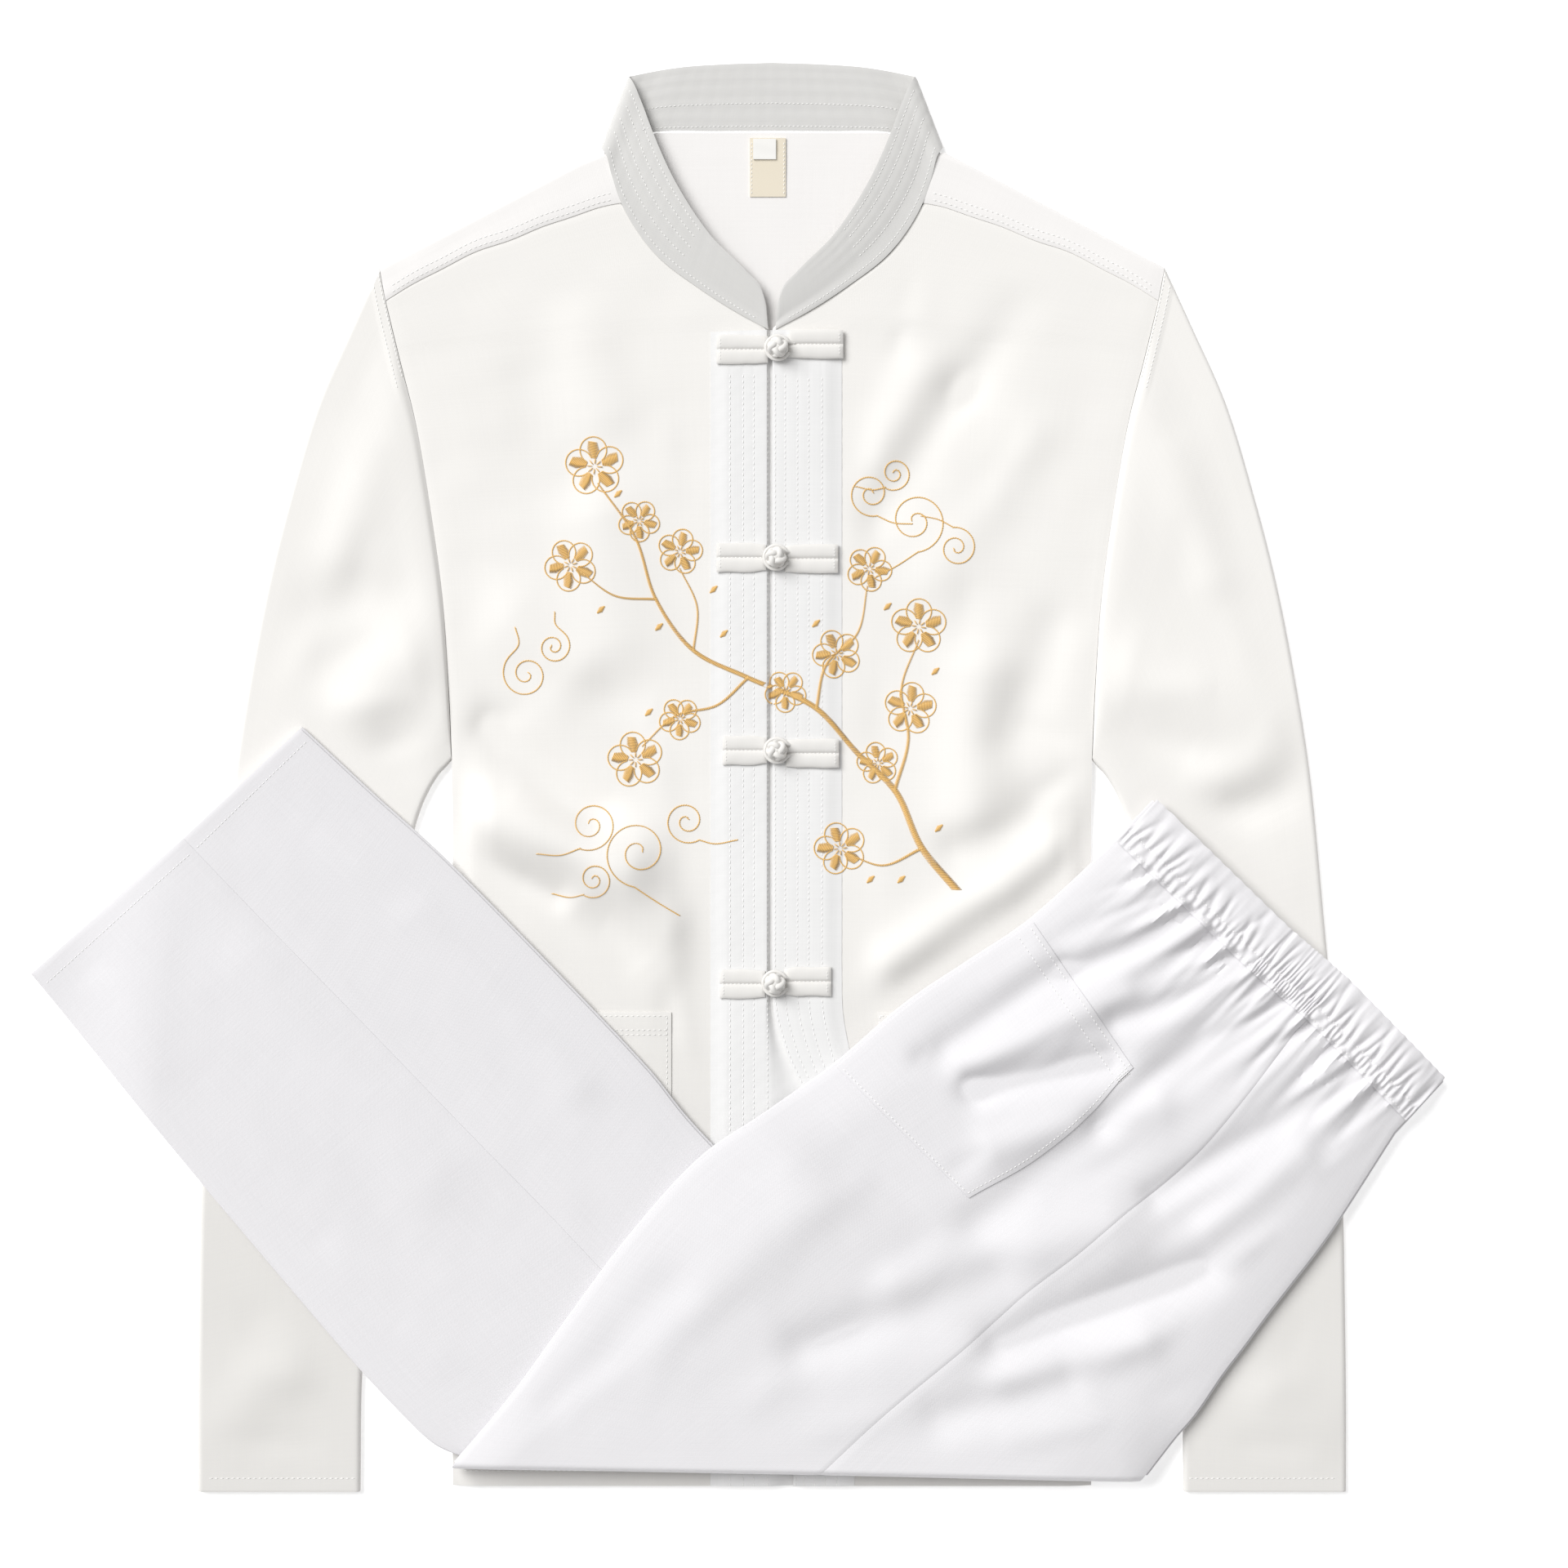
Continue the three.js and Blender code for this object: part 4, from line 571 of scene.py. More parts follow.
def rowsBetween(low, high, step):
    # rows of the front's table at even steps up the centre line
    heights = np.append(np.arange(low, high, step), high)
    return np.interp(heights, frontTable[:neckRow + 1, 1], rowNumbers[:neckRow + 1])[:, None]


def frontRelief(x, y):
    return (foldHeight(jacketFolds, x, y) * (1 + 0.4 * smooth(120, 10, y)) + creaseHeight(jacketCreases, x, y)
            + 0.36 * rumple(x, y, 21) + 0.12 * rumple(x, y, 8, 0.8))


def frontAt(side, r, place):
    # the underside of a front panel at rows r and distances out from the centre line
    own = sides[side]
    trim = own["band"]
    innerX, innerY = frontColumn(0, r), frontColumn(1, r)
    bow, swing = np.interp(r, rowNumbers, frontTable[:, 4]), frontColumn(5, r)
    holeX, holeY = armholeAt(np.interp(r, rowNumbers, frontTable[:, 3]))
    below = np.clip(armpitRow - r, 0, 1)
    edgeX = lerp(holeX, bodyHalf, below)
    edgeY = np.where(r >= armpitRow, holeY, lerp(holeY, frontColumn(2, np.minimum(r, armpitRow - 1)), below))
    neck = np.clip(r - neckRow, 0, 1)
    seamShare = np.interp(place, own["seamAt"], seamShares)
    low = np.where(place <= trim, place, lerp(trim, edgeX, (place - trim) / (bodyHalf - trim)))
    outward = lerp(low, lerp(innerX, edgeX, seamShare), neck)
    share = lerp(np.maximum(0, place) / bodyHalf, seamShare, neck)
    if side == "left":
        outward = outward + swing * (1 - share) ** 2 + gap * (place <= 0)
    y = lerp(innerY, edgeY, share) + bow * 4 * share * (1 - share) + seamWaver(seamShare) * smooth(24, 26, r)
    x = own["sign"] * (outward - seamHalf * (place >= bodyHalf))
    inward = edgeX - outward
    atSide = lerp(smooth(0, 26, inward), smooth(4, 34, inward), smooth(14, 19, r))
    clear = smooth(trim, trim + 26, outward) * atSide * (1 - smooth(21, 25.5, r))
    relief = frontRelief(x, y) * clear * (1 - coverAt(x + centreX, y))
    waver = front["waver"] * rumple(x, y, 11, 1.9) * smooth(0, 10, inward) * smooth(26, 24.5, r)
    lap = 1 - smooth(1 - 0.9 * swing, front["lapSlope"], outward) if side == "right" else 0
    drop = np.maximum(lap, smooth(front["sideRound"], 0, inward) * smooth(armpitY - 8, armpitY - 46, y))
    z = lerp(frontLevel + np.maximum(relief, lapLevel - frontLevel), lapLevel, drop) + waver
    return grid(x + centreX, y, z)


lowRows = rowsBetween(hemY, neckY, front["rowStep"])
frontRows = np.concatenate([lowRows, np.linspace(neckRow, seamRow, 34)[1:, None]])

for side, own in sides.items():
    start, trim = own["start"], own["band"]
    places = np.unique(np.concatenate([np.linspace(start, own["lapEnd"], own["lapColumns"]),
                                       np.linspace(1, bodyHalf, 70)]))[None, :]
    under = frontAt(side, frontRows, places)
    keep = np.ones((under.shape[0] - 1, under.shape[1] - 1), bool)
    keep[len(lowRows) - 1:, :] = places[0, :-1] >= own["keepFrom"]
    panel = clothWall(f"front{side.title()}", lifted(under, cloth), under, jacketLinen, keep=keep)
    finishPiece(panel, [f"front_{side}"], (0.24, 0.76), restsOn=["back"], area=0.142)

    # the band down the centre front: rows of stitching sink into it and the cloth rises between them
    across = np.unique(np.append(np.arange(start, trim, 1.0), trim))[None, :]
    under = lifted(frontAt(side, rowsBetween(hemY, neckY, 3.2), across), pitch)
    along, out = under[..., 1], np.broadcast_to(across, under.shape[:2])
    for k, place in enumerate(own["stitchRows"]):
        pucker = 1 + 0.5 * np.sin(along * 0.9 + 2.7 * k) + 0.3 * np.sin(along * 0.37 + k)
        under[..., 2] -= 0.11 * pucker * np.exp(-((out - place) / 1.0) ** 2)
    under[..., 2] += 0.06 * np.sin(along * 0.62 + out * 0.5)
    top = lifted(under, cloth)
    sink = smooth(11, 0, trim - out)
    top[..., 2] -= 1.15 * sink
    under[..., 2] -= 0.2 * sink
    placket = clothWall(f"placket{side.title()}", top, under, trimLinen)
    finishPiece(placket, [f"placket_{side}"], (trim * metre - start * metre, 0.68),
                restsOn=[panel.name])

    pocketPlaces = np.linspace(own["pocketFrom"], 174, 40)[None, :]
    under = lifted(frontAt(side, rowsBetween(-277, -138, 3.0), pocketPlaces), 1.3)
    top = lifted(under, 0.8 + 0.35 * smooth(-152, -149, under[..., 1]))
    pocket = clothWall(f"pocket{side.title()}", top, under, jacketLinen)
    finishPiece(pocket, [f"pocket_{side}"], (0.115, 0.155), restsOn=[panel.name])
print("fronts made")

# Back: flat below, turned up round the shoulders to the forward shoulder seams
shoulderNeck, backNeck = (101.5, 366.6), (68.0, 378.2)
shoulderTip = armhole[0]
back = {"columns": 66, "turns": 13, "flapRows": 12}


def backTopLine(x):
    return np.interp(x, [0, backNeck[0], shoulderNeck[0], shoulderTip[0]],
                     [backNeck[1], backNeck[1], shoulderNeck[1], shoulderTip[1]])


def shoulderSeam(share):
    x = lerp(frontTable[-1, 0], armhole[1][0] - seamHalf, share)
    y = lerp(frontTable[-1, 1], armhole[1][1], share) + frontTable[-1, 4] * 4 * share * (1 - share)
    y = y + seamWaver(share) + seamHalf
    return x, y


half = np.unique(np.concatenate([np.linspace(0, shoulderNeck[0], 28),
                                 np.linspace(shoulderNeck[0], shoulderTip[0], back["columns"] - 27)]))
signed = np.concatenate([-half[:0:-1], half])
c = np.abs(signed)
isEdge = c >= shoulderTip[0] - 1e-6
onShoulder = c >= shoulderNeck[0] - 1e-6
seamX, seamY = shoulderSeam(np.clip((c - shoulderNeck[0]) / (shoulderTip[0] - shoulderNeck[0]), 0, 1))
crestX, crestY = c - np.where(isEdge, seamHalf, 0), backTopLine(c)
slope = np.hypot(seamX - crestX, seamY - crestY)
outerRows, innerRows = [], []


def backRow(x, y, low, high):
    for rows, z in ((outerRows, low), (innerRows, high)):
        rows.append(grid(centreX + np.sign(signed) * x, y, z))


def wrapPoint(depth):
    # a place this far down from the shoulder's crest towards its seam
    return (np.where(onShoulder, lerp(crestX, seamX, depth / slope), c),
            np.where(onShoulder, lerp(crestY, seamY, depth / slope), crestY))


for y in np.linspace(hemY, armpitY, 60)[:-1]:
    backRow(c / shoulderTip[0] * (bodyHalf - seamHalf), y, 0, cloth)
for place in np.linspace(7, 1, 74):
    edgeX, edgeY = armholeAt(place)
    rise = (edgeY - armpitY) / (shoulderTip[1] - armpitY)
    backRow(c / shoulderTip[0] * (edgeX - seamHalf), np.where(isEdge, edgeY, lerp(armpitY, crestY, rise)),
            0, cloth)
last = outerRows[-1]
x, y = wrapPoint(foldRadius)
for t in (0.2, 0.4, 0.6, 0.8):
    backRow(lerp(np.abs(last[:, 0] - centreX), x, t), lerp(last[:, 1], y, t), 0, cloth)
wrapStart = len(outerRows)
underCollar = 3.8 * (1 - smooth(0, 14, np.abs(c - shoulderNeck[0])))  # the flap's neck edge lies below the collar
for angle in np.linspace(-math.pi / 2, math.pi / 2, back["turns"]):
    for rows, radius in ((outerRows, foldRadius), (innerRows, foldRadius - cloth)):
        x, y = wrapPoint(foldRadius - radius * math.cos(angle))
        x = x - underCollar * smooth(0.2, 1.5, angle)
        rows.append(grid(centreX + np.sign(signed) * x, y, foldRadius + radius * math.sin(angle)))
flapX, flapY = wrapPoint(foldRadius)
for t in np.linspace(0, 1, back["flapRows"])[1:]:
    x = np.where(onShoulder, lerp(flapX, seamX, t), flapX)
    y = np.where(onShoulder, lerp(flapY, seamY, t), flapY)
    bulge = 0.35 * math.sin(math.pi * t) * (1 + rumple(x, y, 14)) + 0.6 * smooth(0.3, 0.9, t)
    backRow(x - underCollar * (1 - 0.8 * t), y, frontTop + bulge, frontLevel + bulge)
outer, inner = np.array(outerRows), np.array(innerRows)
fromCentre = np.abs(inner[..., 0] - centreX)
insideNeck = (fromCentre < 92) & (inner[..., 1] > 250) & (inner[..., 2] < 1.3)
ripple = 0.25 * (1 + rumple(inner[..., 0], inner[..., 1], 16, 0.4)) * smooth(92, 60, fromCentre)
inner[..., 2] += np.where(insideNeck, ripple * smooth(378, 366, inner[..., 1]), 0)
keep = np.ones((outer.shape[0] - 1, outer.shape[1] - 1), bool)
neckFrom = np.argmin(np.abs(signed + shoulderNeck[0]))
neckTo = np.argmin(np.abs(signed - shoulderNeck[0]))
keep[wrapStart:, neckFrom:neckTo] = False
backPanel = clothWall("backPanel", outer, inner, innerLinen, keep=keep)
backPanel.data.materials.append(jacketLinen)
finishPiece(backPanel, ["back", "shoulder_right", "shoulder_left"], (0.47, 0.83), area=0.34)
print("back made")

# Sleeves: flattened tubes, open at the armhole and the cuff
sleeve = {"rows": 130, "top": 46, "below": 16, "lowest": 3.4}
sleeveTable = np.array(sleeveSections, float)


def sleeveShape(r, p, side):
    # the upper cloth of a sleeve at rows r and places p along the armhole curve, as x, y and height
    sign = sides[side]["sign"]
    ox, oy, ix, iy, high = (column(sleeveTable[:, k], r) for k in range(5))
    onX, onY = armholeAt(p)
    share = (shoulderTip[1] - onY) / (shoulderTip[1] - armpitY)
    dx, dy = ix - ox, iy - oy
    long = np.hypot(dx, dy)
    radius = high / 2
    reach = (radius + share * (long - 2 * radius)) / long
    curve = np.maximum(0, 1 - r / 4) ** 2
    bendX = onX - lerp(shoulderTip[0], armhole[7][0], share)
    bendY = onY - lerp(shoulderTip[1], armhole[7][1], share)
    x = ox + reach * dx + curve * bendX + seamHalf * np.maximum(0, 1 - r)
    y = oy + reach * dy + curve * bendY
    free = np.sin(math.pi * np.clip(share, 0, 1)) ** 0.7 * smooth(0, 2, r) * (1 - coverAt(sign * x + centreX, y))
    relief = (foldHeight(jacketFolds, sign * x, y) + creaseHeight(sleeveCreases, sign * x, y)
              + 0.36 * rumple(sign * x, y, 22, 0.5) + 0.12 * rumple(sign * x, y, 8)) * free
    tape = 0.4 * (1 - smooth(0.33, 0.42, r)) * (1 - smooth(2.1, 2.6, p))
    roll = (1.7 * (1 - np.exp(-(r / 0.15) ** 2)) + 1.2 * (1 - np.exp(-(r / 0.5) ** 2))) * np.exp(-(r / 2.2) ** 2) \
        * smooth(1.2, 2.6, p) * (1 - smooth(6.2, 7, p))
    return x, y, np.maximum(high + relief, sleeve["lowest"]) + tape + roll, (ox, oy, dx / long, dy / long, long, high)


for side, own in sides.items():
    sign = own["sign"]
    r = np.concatenate([np.linspace(0, 0.6, 13)[:-1], np.linspace(0.6, 12, sleeve["rows"] - 6),
                        np.linspace(12, 13, 8)[1:]])[:, None]
    p = np.linspace(0, 7, sleeve["top"])[None, :]
    x, y, high, (ox, oy, alongX, alongY, long, tall) = sleeveShape(r, p, side)
    shells = []
    for thick in (0, cloth):
        ring = [grid(centreX + sign * x, y, high - thick)]
        radius = tall / 2
        turn = np.radians(np.linspace(70, -70, 8))[None, :]

        def edgeArc(start, way):
            reach = (radius - thick) * np.cos(turn) - radius
            baseX = ox + seamHalf * np.maximum(0, 1 - r) + (long * alongX if start else 0)
            baseY = oy + (long * alongY if start else 0)
            return grid(centreX + sign * (baseX + way * reach * alongX), baseY + way * reach * alongY,
                        radius + (radius - thick) * np.sin(turn))

        ring.append(edgeArc(True, 1))
        pickBelow = np.linspace(sleeve["top"] - 1, 0, sleeve["below"]).round().astype(int)
        ring.append(grid(centreX + sign * x[:, pickBelow], y[:, pickBelow], thick))
        ring.append(edgeArc(False, -1)[:, ::-1])
        shells.append(np.concatenate(ring, axis=1))
    tube = clothWall(f"sleeve{side.title()}", shells[0], shells[1], jacketLinen, closed=True, pinch=0.2)
    finishPiece(tube, [f"sleeve_{side}"], (0.46, 0.75), area=0.145)
print("sleeves made")

# Collar band, folded flat at both sides of the neck
collar = {"along": 120, "across": 22, "rows": [0.08, 0.3, 0.5, 0.7, 0.88], "overlap": 0.9, "lift": 1.25}
table = np.array(collarSections, float)
middlePath = (table[:, :3] + table[:, 3:]) / 2
knots = np.concatenate([[0], np.cumsum(np.linalg.norm(np.diff(middlePath, axis=0), axis=1))])
at = np.linspace(0, knots[-1], collar["along"])
seamLine, topLine = spline(knots, table[:, :3], at), spline(knots, table[:, 3:], at)
t = np.linspace(0, 1, collar["across"])[None, :, None]
halfBand = lerp(seamLine[:, None], topLine[:, None], t)
onFront = smooth(1, 3, seamLine[:, 2])[:, None]
outerEdge = 1 - smooth(0, 0.24, t[..., 0])
halfBand -= unit(topLine - seamLine)[:, None] * (collar["overlap"] * onFront * outerEdge)[..., None]
halfBand[..., 2] += collar["lift"] * outerEdge * onFront
halfBand[..., 2] += 0.5 * np.sin(math.pi * t[..., 0]) * onFront
mirrored = halfBand[:-1].copy()
mirrored[..., 0] *= -1
middle = np.concatenate([mirrored, halfBand[::-1]])
lengthwise, crosswise = np.gradient(middle, axis=0), np.gradient(middle, axis=1)
normal = unit(np.cross(lengthwise, crosswise))
u = np.linspace(0, 1, collar["across"])[None, :]
alongBand = np.arange(middle.shape[0])[:, None]
groove = sum(np.exp(-((u - place) / 0.045) ** 2) for place in collar["rows"])
upper = smooth(285, 320, middle[..., 1])
pucker = 0.22 * groove * (1 + 0.5 * np.sin(alongBand * 1.3)) * upper
stand = middle + np.array([centreX, 0, 0])
faceUp = np.sign(normal[..., 2:3]) + (normal[..., 2:3] == 0)
outerFace = stand + normal * (cloth / 2 - pucker[..., None] * (faceUp > 0))
innerFace = stand - normal * (cloth / 2 - pucker[..., None] * (faceUp < 0))
for face in (outerFace, innerFace):
    face[..., 2] = np.maximum(face[..., 2], 0.02)
collarBand = clothWall("collarBand", outerFace, innerFace, collarLinen)
finishPiece(collarBand, ["collar"], (0.44, 0.042), held="folded", restsOn=["backPanel"],
            area=0.0168)
print("collar made")


# Labels: blank woven tapes
def roundedTape(name, wide, long, x, y, z, thick, material, node):
    u, v = np.meshgrid(np.linspace(-1, 1, 14), np.linspace(-1, 1, 20))
    top = grid(centreX + x + u * wide / 2, y + v * long / 2,
               z + thick + 0.12 * np.sin(3 * v + u) * (1 - v * v))
    bottom = top.copy()
    bottom[..., 2] = z
    tape = clothWall(name, top, bottom, material, pinch=0.04)
    return finishPiece(tape, [node], (wide * metre, long * metre), restsOn=["backPanel"])


roundedTape("neckLabel", 21, 34.5, -2.4, 357.8, pitch, 0.9, labelWeave, "neck_label")
roundedTape("sizeTag", 13.4, 12, -4.3, 368.4, pitch + 1.3, 0.8, tagWeave, "size_tag")

# Frogs: a doubled strip each side, a loop round a ball knot
frogs = [  # y and length of the leg with the knot, the same for the leg with the loop, knot x and y
    (250.3, 30, 253.4, 33, 3.4, 251.2), (128.4, 29, 127.7, 31, 2.4, 128.4),
    (15.4, 26, 13.7, 31, 2.9, 15.4), (-121.5, 26.5, -120.0, 27.5, 1.8, -121.0)]
frog = {"width": 17.0, "thick": 2.4, "knotRadius": 6.2, "knotHalf": 5.4, "cord": 2.2}


def tube(path, radius, closed=True, sides=9, flat=1.0, up=(0, 0, 1.0)):
    # a round cord along a path of points
    count = len(path)
    ahead = unit(np.roll(path, -1, 0) - np.roll(path, 1, 0)) if closed else unit(np.gradient(path, axis=0))
    sideways = unit(np.cross(ahead, np.array(up)))
    upwards = np.cross(sideways, ahead)
    turn = np.linspace(0, 2 * math.pi, sides, endpoint=False)[None, :, None]
    size = np.broadcast_to(np.asarray(radius, float), (count,))[:, None, None]
    points = (path[:, None] + size * (np.cos(turn) * sideways[:, None]
                                      + flat * np.sin(turn) * upwards[:, None])).reshape(-1, 3)
    steps = count if closed else count - 1
    i, j = np.meshgrid(np.arange(steps), np.arange(sides), indexing="ij")
    i2, j2 = (i + 1) % count, (j + 1) % sides
    faces = np.stack([i * sides + j, i * sides + j2, i2 * sides + j2, i2 * sides + j], -1).reshape(-1, 4)
    arc = np.arange(steps + 1) * 0.8
    around = np.arange(sides + 1) * (2 * math.pi * float(np.mean(size)) / sides)
    uv = np.stack([np.stack([around[j + b], arc[i + a]], -1) for a, b in ((0, 0), (0, 1), (1, 1), (1, 0))], 2)
    return points, faces[:, ::-1], uv.reshape(-1, 4, 2)[:, ::-1]


def frogStrip(x0, x1, y, base, thick, towardKnot):
    # two flat rolls side by side with a crease between them, tucked square at the free end
    long = x1 - x0
    s, v = np.meshgrid(np.linspace(0, 1, 26), np.linspace(-1, 1, 31), indexing="ij")
    roll = np.sqrt(np.clip(1 - 0.92 * (2 * np.abs(v) - 1) ** 2, 0, 1))
    toKnot = s if towardKnot > 0 else 1 - s
    narrow = 1 - 0.1 * smooth(0.7, 1, toKnot)
    wobble = 1 + 0.02 * np.sin(9 * s + y)
    ends = np.sqrt(np.clip(1 - np.abs(2 * s - 1) ** 14, 0.06, 1))
    crease = 1 - 0.3 * np.exp(-(v / 0.09) ** 2)
    high = thick * (0.3 + 0.7 * roll * ends) * crease
    high = high + 0.12 * rumple(x0 + s * long, y + v * 9, 3.2) * ends
    tops = grid(x0 + s * long, y + v * frog["width"] / 2 * narrow * wobble, base + high)
    bottoms = tops.copy()
    bottoms[..., 2] = base
    return tops, bottoms


def frogEnds(knotX):
    # the knot's middle, where the knot leg ends and where the loop leg starts
    middle = centreX + knotX
    return middle, middle - frog["knotRadius"] + 0.4, middle + frog["knotRadius"] - 0.8


base = topLevel
ballZ = base + frog["knotHalf"] + gap
squat = frog["knotHalf"] / frog["knotRadius"]
ringMiddle = frog["knotRadius"] + frog["cord"] / 2 - 0.4
for number, (knotY, knotLong, loopY, loopLong, knotX, ballY) in enumerate(frogs, 1):
    kx, end, start = frogEnds(knotX)
    for part, x0, x1, y, thick, towardKnot in (("Knot", end - knotLong, end, knotY, frog["thick"] - 0.3, 1),
                                               ("Loop", start, start + loopLong, loopY, frog["thick"], -1)):
        tops, bottoms = frogStrip(x0, x1, y, base, thick, towardKnot)
        strip = clothWall(f"frog{part}Leg{number}", tops, bottoms, frogLinen, pinch=0.05)
        finishPiece(strip, [f"frog_{number}_{part.lower()}_leg"])

    # the loop leaves the strip's two rolls and runs round the knot
    turns = np.linspace(math.radians(32), math.radians(328), 40)
    loopPath = grid(kx + ringMiddle * np.cos(turns), ballY + ringMiddle * np.sin(turns),
                    base + (frog["thick"] + 0.3) + 0.5 * np.cos(turns))
    tail = grid(np.array([start + 4.5, start + 2.5]), ballY + np.array([2.6, 3.0]), base + np.array([0.7, 1.3]))
    otherTail = tail[::-1].copy()
    otherTail[:, 1] = 2 * ballY - otherTail[:, 1]
    loopPath = np.concatenate([tail, loopPath, otherTail])
    # the ball: a three-strand turk's head on a filled core
    span = np.linspace(0, 6 * math.pi, 240, endpoint=False)
    latitude = math.radians(58) * np.cos(4 * span / 3)
    radius = 4.5 + 0.7 * np.sin(8 * span / 3)
    weavePath = grid(kx + radius * np.cos(latitude) * np.cos(span + number), ballY + radius * np.cos(latitude)
                     * np.sin(span + number), ballZ + radius * squat * np.sin(latitude))
    rise = np.linspace(-math.pi / 2, math.pi / 2, 12)
    parts = [tube(weavePath, 1.75, sides=10, flat=0.9, up=(0.1, 0.2, 1.0)),
             tube(grid(kx, ballY, ballZ + 4.2 * np.sin(rise)), 4.9 * np.cos(rise) + 0.02, closed=False, sides=16,
                  up=(1.0, 0, 0)),
             tube(loopPath, frog["cord"] / 2, closed=False, sides=8)]
    starts = np.cumsum([0] + [len(points) for points, _, _ in parts])
    ball = newObject(f"frogKnot{number}", np.concatenate([part[0] for part in parts]),
                     np.concatenate([part[1] + first for part, first in zip(parts, starts)]),
                     np.concatenate([part[2] for part in parts]), frogLinen)
    finishPiece(ball, [f"frog_{number}_knot"])
print("frogs made")

# Trousers, folded lengthwise and at the knee
waistGathers = [  # place along the waist seam, length, half width, rise, turn of the crease
    (6, 40, 4.5, -1.3, -0.1), (14, 66, 4.0, 1.5, 0.05), (23, 34, 3.6, -1.3, 0), (33, 92, 5.0, 1.7, 0.08),
    (43, 50, 4.2, -1.8, -0.06), (52, 78, 4.4, 1.4, 0.1), (60, 36, 3.6, -1.4, 0), (69, 108, 5.4, 1.9, 0.06),
    (80, 56, 4.4, -1.8, 0.1), (88, 78, 4.2, 1.4, 0.02), (97, 40, 3.6, -1.4, 0.1), (108, 98, 5.2, 1.8, 0.08),
    (117, 46, 4.0, -1.5, 0), (127, 70, 4.4, 1.6, 0.12), (136, 122, 5.2, -1.9, 0.05), (146, 56, 4.2, 1.5, 0.1),
    (154, 40, 3.6, -1.4, -0.02), (165, 92, 5.0, 1.8, 0.1), (174, 50, 4.0, -1.6, 0), (184, 74, 4.4, 1.5, 0.14),
    (192, 36, 3.6, -1.3, 0), (203, 88, 5.0, 1.6, 0.1), (212, 46, 4.0, -1.5, 0.05), (222, 60, 4.2, 1.2, 0.1),
    (230, 34, 3.6, -1.0, 0)]
waistFrom, waistTo = np.array(waistRow[0:2], float), np.array(waistRow[6:8], float)
waistLong = np.linalg.norm(waistTo - waistFrom)
waistWay = (waistTo - waistFrom) / waistLong
channel = {"inner": 12.0, "outer": 19.5}  # stitched rows of the elastic channel, out from the waist line
waistCreases = []


def addWaistCrease(share, angle, long, wide, rise):
    # a crease that starts below the elastic channel
    x, y = lerp(waistFrom, waistTo, share) + np.array([band["outX"], band["outY"]]) * channel["inner"]
    long += channel["inner"]
    waistCreases.append((x, y, x + long * math.cos(angle), y + long * math.sin(angle), wide, rise))


for place, long, wide, rise, turn in waistGathers:
    share = place / waistLong
    addWaistCrease(share, lerp(-2.65, -2.25, share) - turn, long, wide, 1.25 * rise)

tucks = np.random.default_rng(7)
for place in np.arange(4, waistLong - 3, 3.6):
    share = (place + tucks.uniform(-1.6, 1.6)) / waistLong
    addWaistCrease(share, lerp(-2.65, -2.25, share) + tucks.uniform(-0.25, 0.2), tucks.uniform(14, 58),
                   tucks.uniform(1.8, 2.8), tucks.choice([-2.1, -1.5, 1.2, 1.7]))

thigh = {"table": np.array(thighSections, float), "rails": 4, "thick": thighThick, "support": thighSupport,
         "relief": lambda x, y, along: smooth(0, 0.6, along) * (1 - smooth(9.2, 9.9, along)),
         "folds": thighFolds, "creases": thighCreases, "gathers": waistCreases}
shin = {"table": np.array(shinSections, float), "rails": 3, "thick": shinThick, "support": jacketSupport,
        "relief": lambda x, y, along: smooth(14, 48, outsideDistance(thighOutline, x, y)),
        "folds": shinFolds, "creases": shinCreases, "gathers": []}


def legPoint(leg, along, across):
    # rows before 0 run on past the waist, ten millimetres for each
    k = np.clip(np.floor(across).astype(int), 0, leg["rails"] - 2)
    on = np.maximum(along, 0)
    rails = [(column(leg["table"][:, 2 * n], on), column(leg["table"][:, 2 * n + 1], on))
             for n in range(leg["rails"])]
    shape = np.broadcast(along, across).shape
    x, y = np.zeros(shape), np.zeros(shape)
    past = np.maximum(-np.asarray(along, float), 0) * 10
    for n in range(leg["rails"] - 1):
        t = across - n
        x = np.where(k == n, lerp(rails[n][0], rails[n + 1][0], t), x)
        y = np.where(k == n, lerp(rails[n][1], rails[n + 1][1], t), y)
    return x + past * band["outX"], y + past * band["outY"]


def waistPuckers(x, y):
    # small tucks that leave the elastic channel and fade within a few centimetres
    place = ((x - waistFrom[0]) * waistWay[0] + (y - waistFrom[1]) * waistWay[1])
    below = channel["inner"] - ((x - waistFrom[0]) * band["outX"] + (y - waistFrom[1]) * band["outY"])
    fade = np.exp(-np.maximum(below, 0) / 13)
    turn = place * 2 * math.pi / 5.6 + 1.8 * np.sin(place / 9) + 0.9 * np.sin(place / 4.1 + 1)
    return 0.95 * fade * np.sin(turn) * (0.7 + 0.3 * np.sin(place / 13))


def plainThick(leg, edge):
    # how thick the layers are, rounded down to their edges
    return leg["thick"] * lerp(0.45, 1, np.sqrt(smooth(0, 0.34, edge)))


def layersThick(leg, along, across, x, y):
    edge = np.minimum(across, leg["rails"] - 1 - across)
    folds = (foldHeight(leg["folds"], x, y) + creaseHeight(leg["creases"], x, y)) * leg["relief"](x, y, along)
    if leg["gathers"]:
        folds = folds + creaseHeight(leg["gathers"], x, y, openEnd=True) + waistPuckers(x, y)
    waves = (0.3 * rumple(x, y, 18, 0.7) + 0.12 * rumple(x, y, 7, 0.2)) * leg["relief"](x, y, along)
    return np.maximum(leg["thick"] * 0.4, plainThick(leg, edge) + (folds + waves) * smooth(0, 0.34, edge))


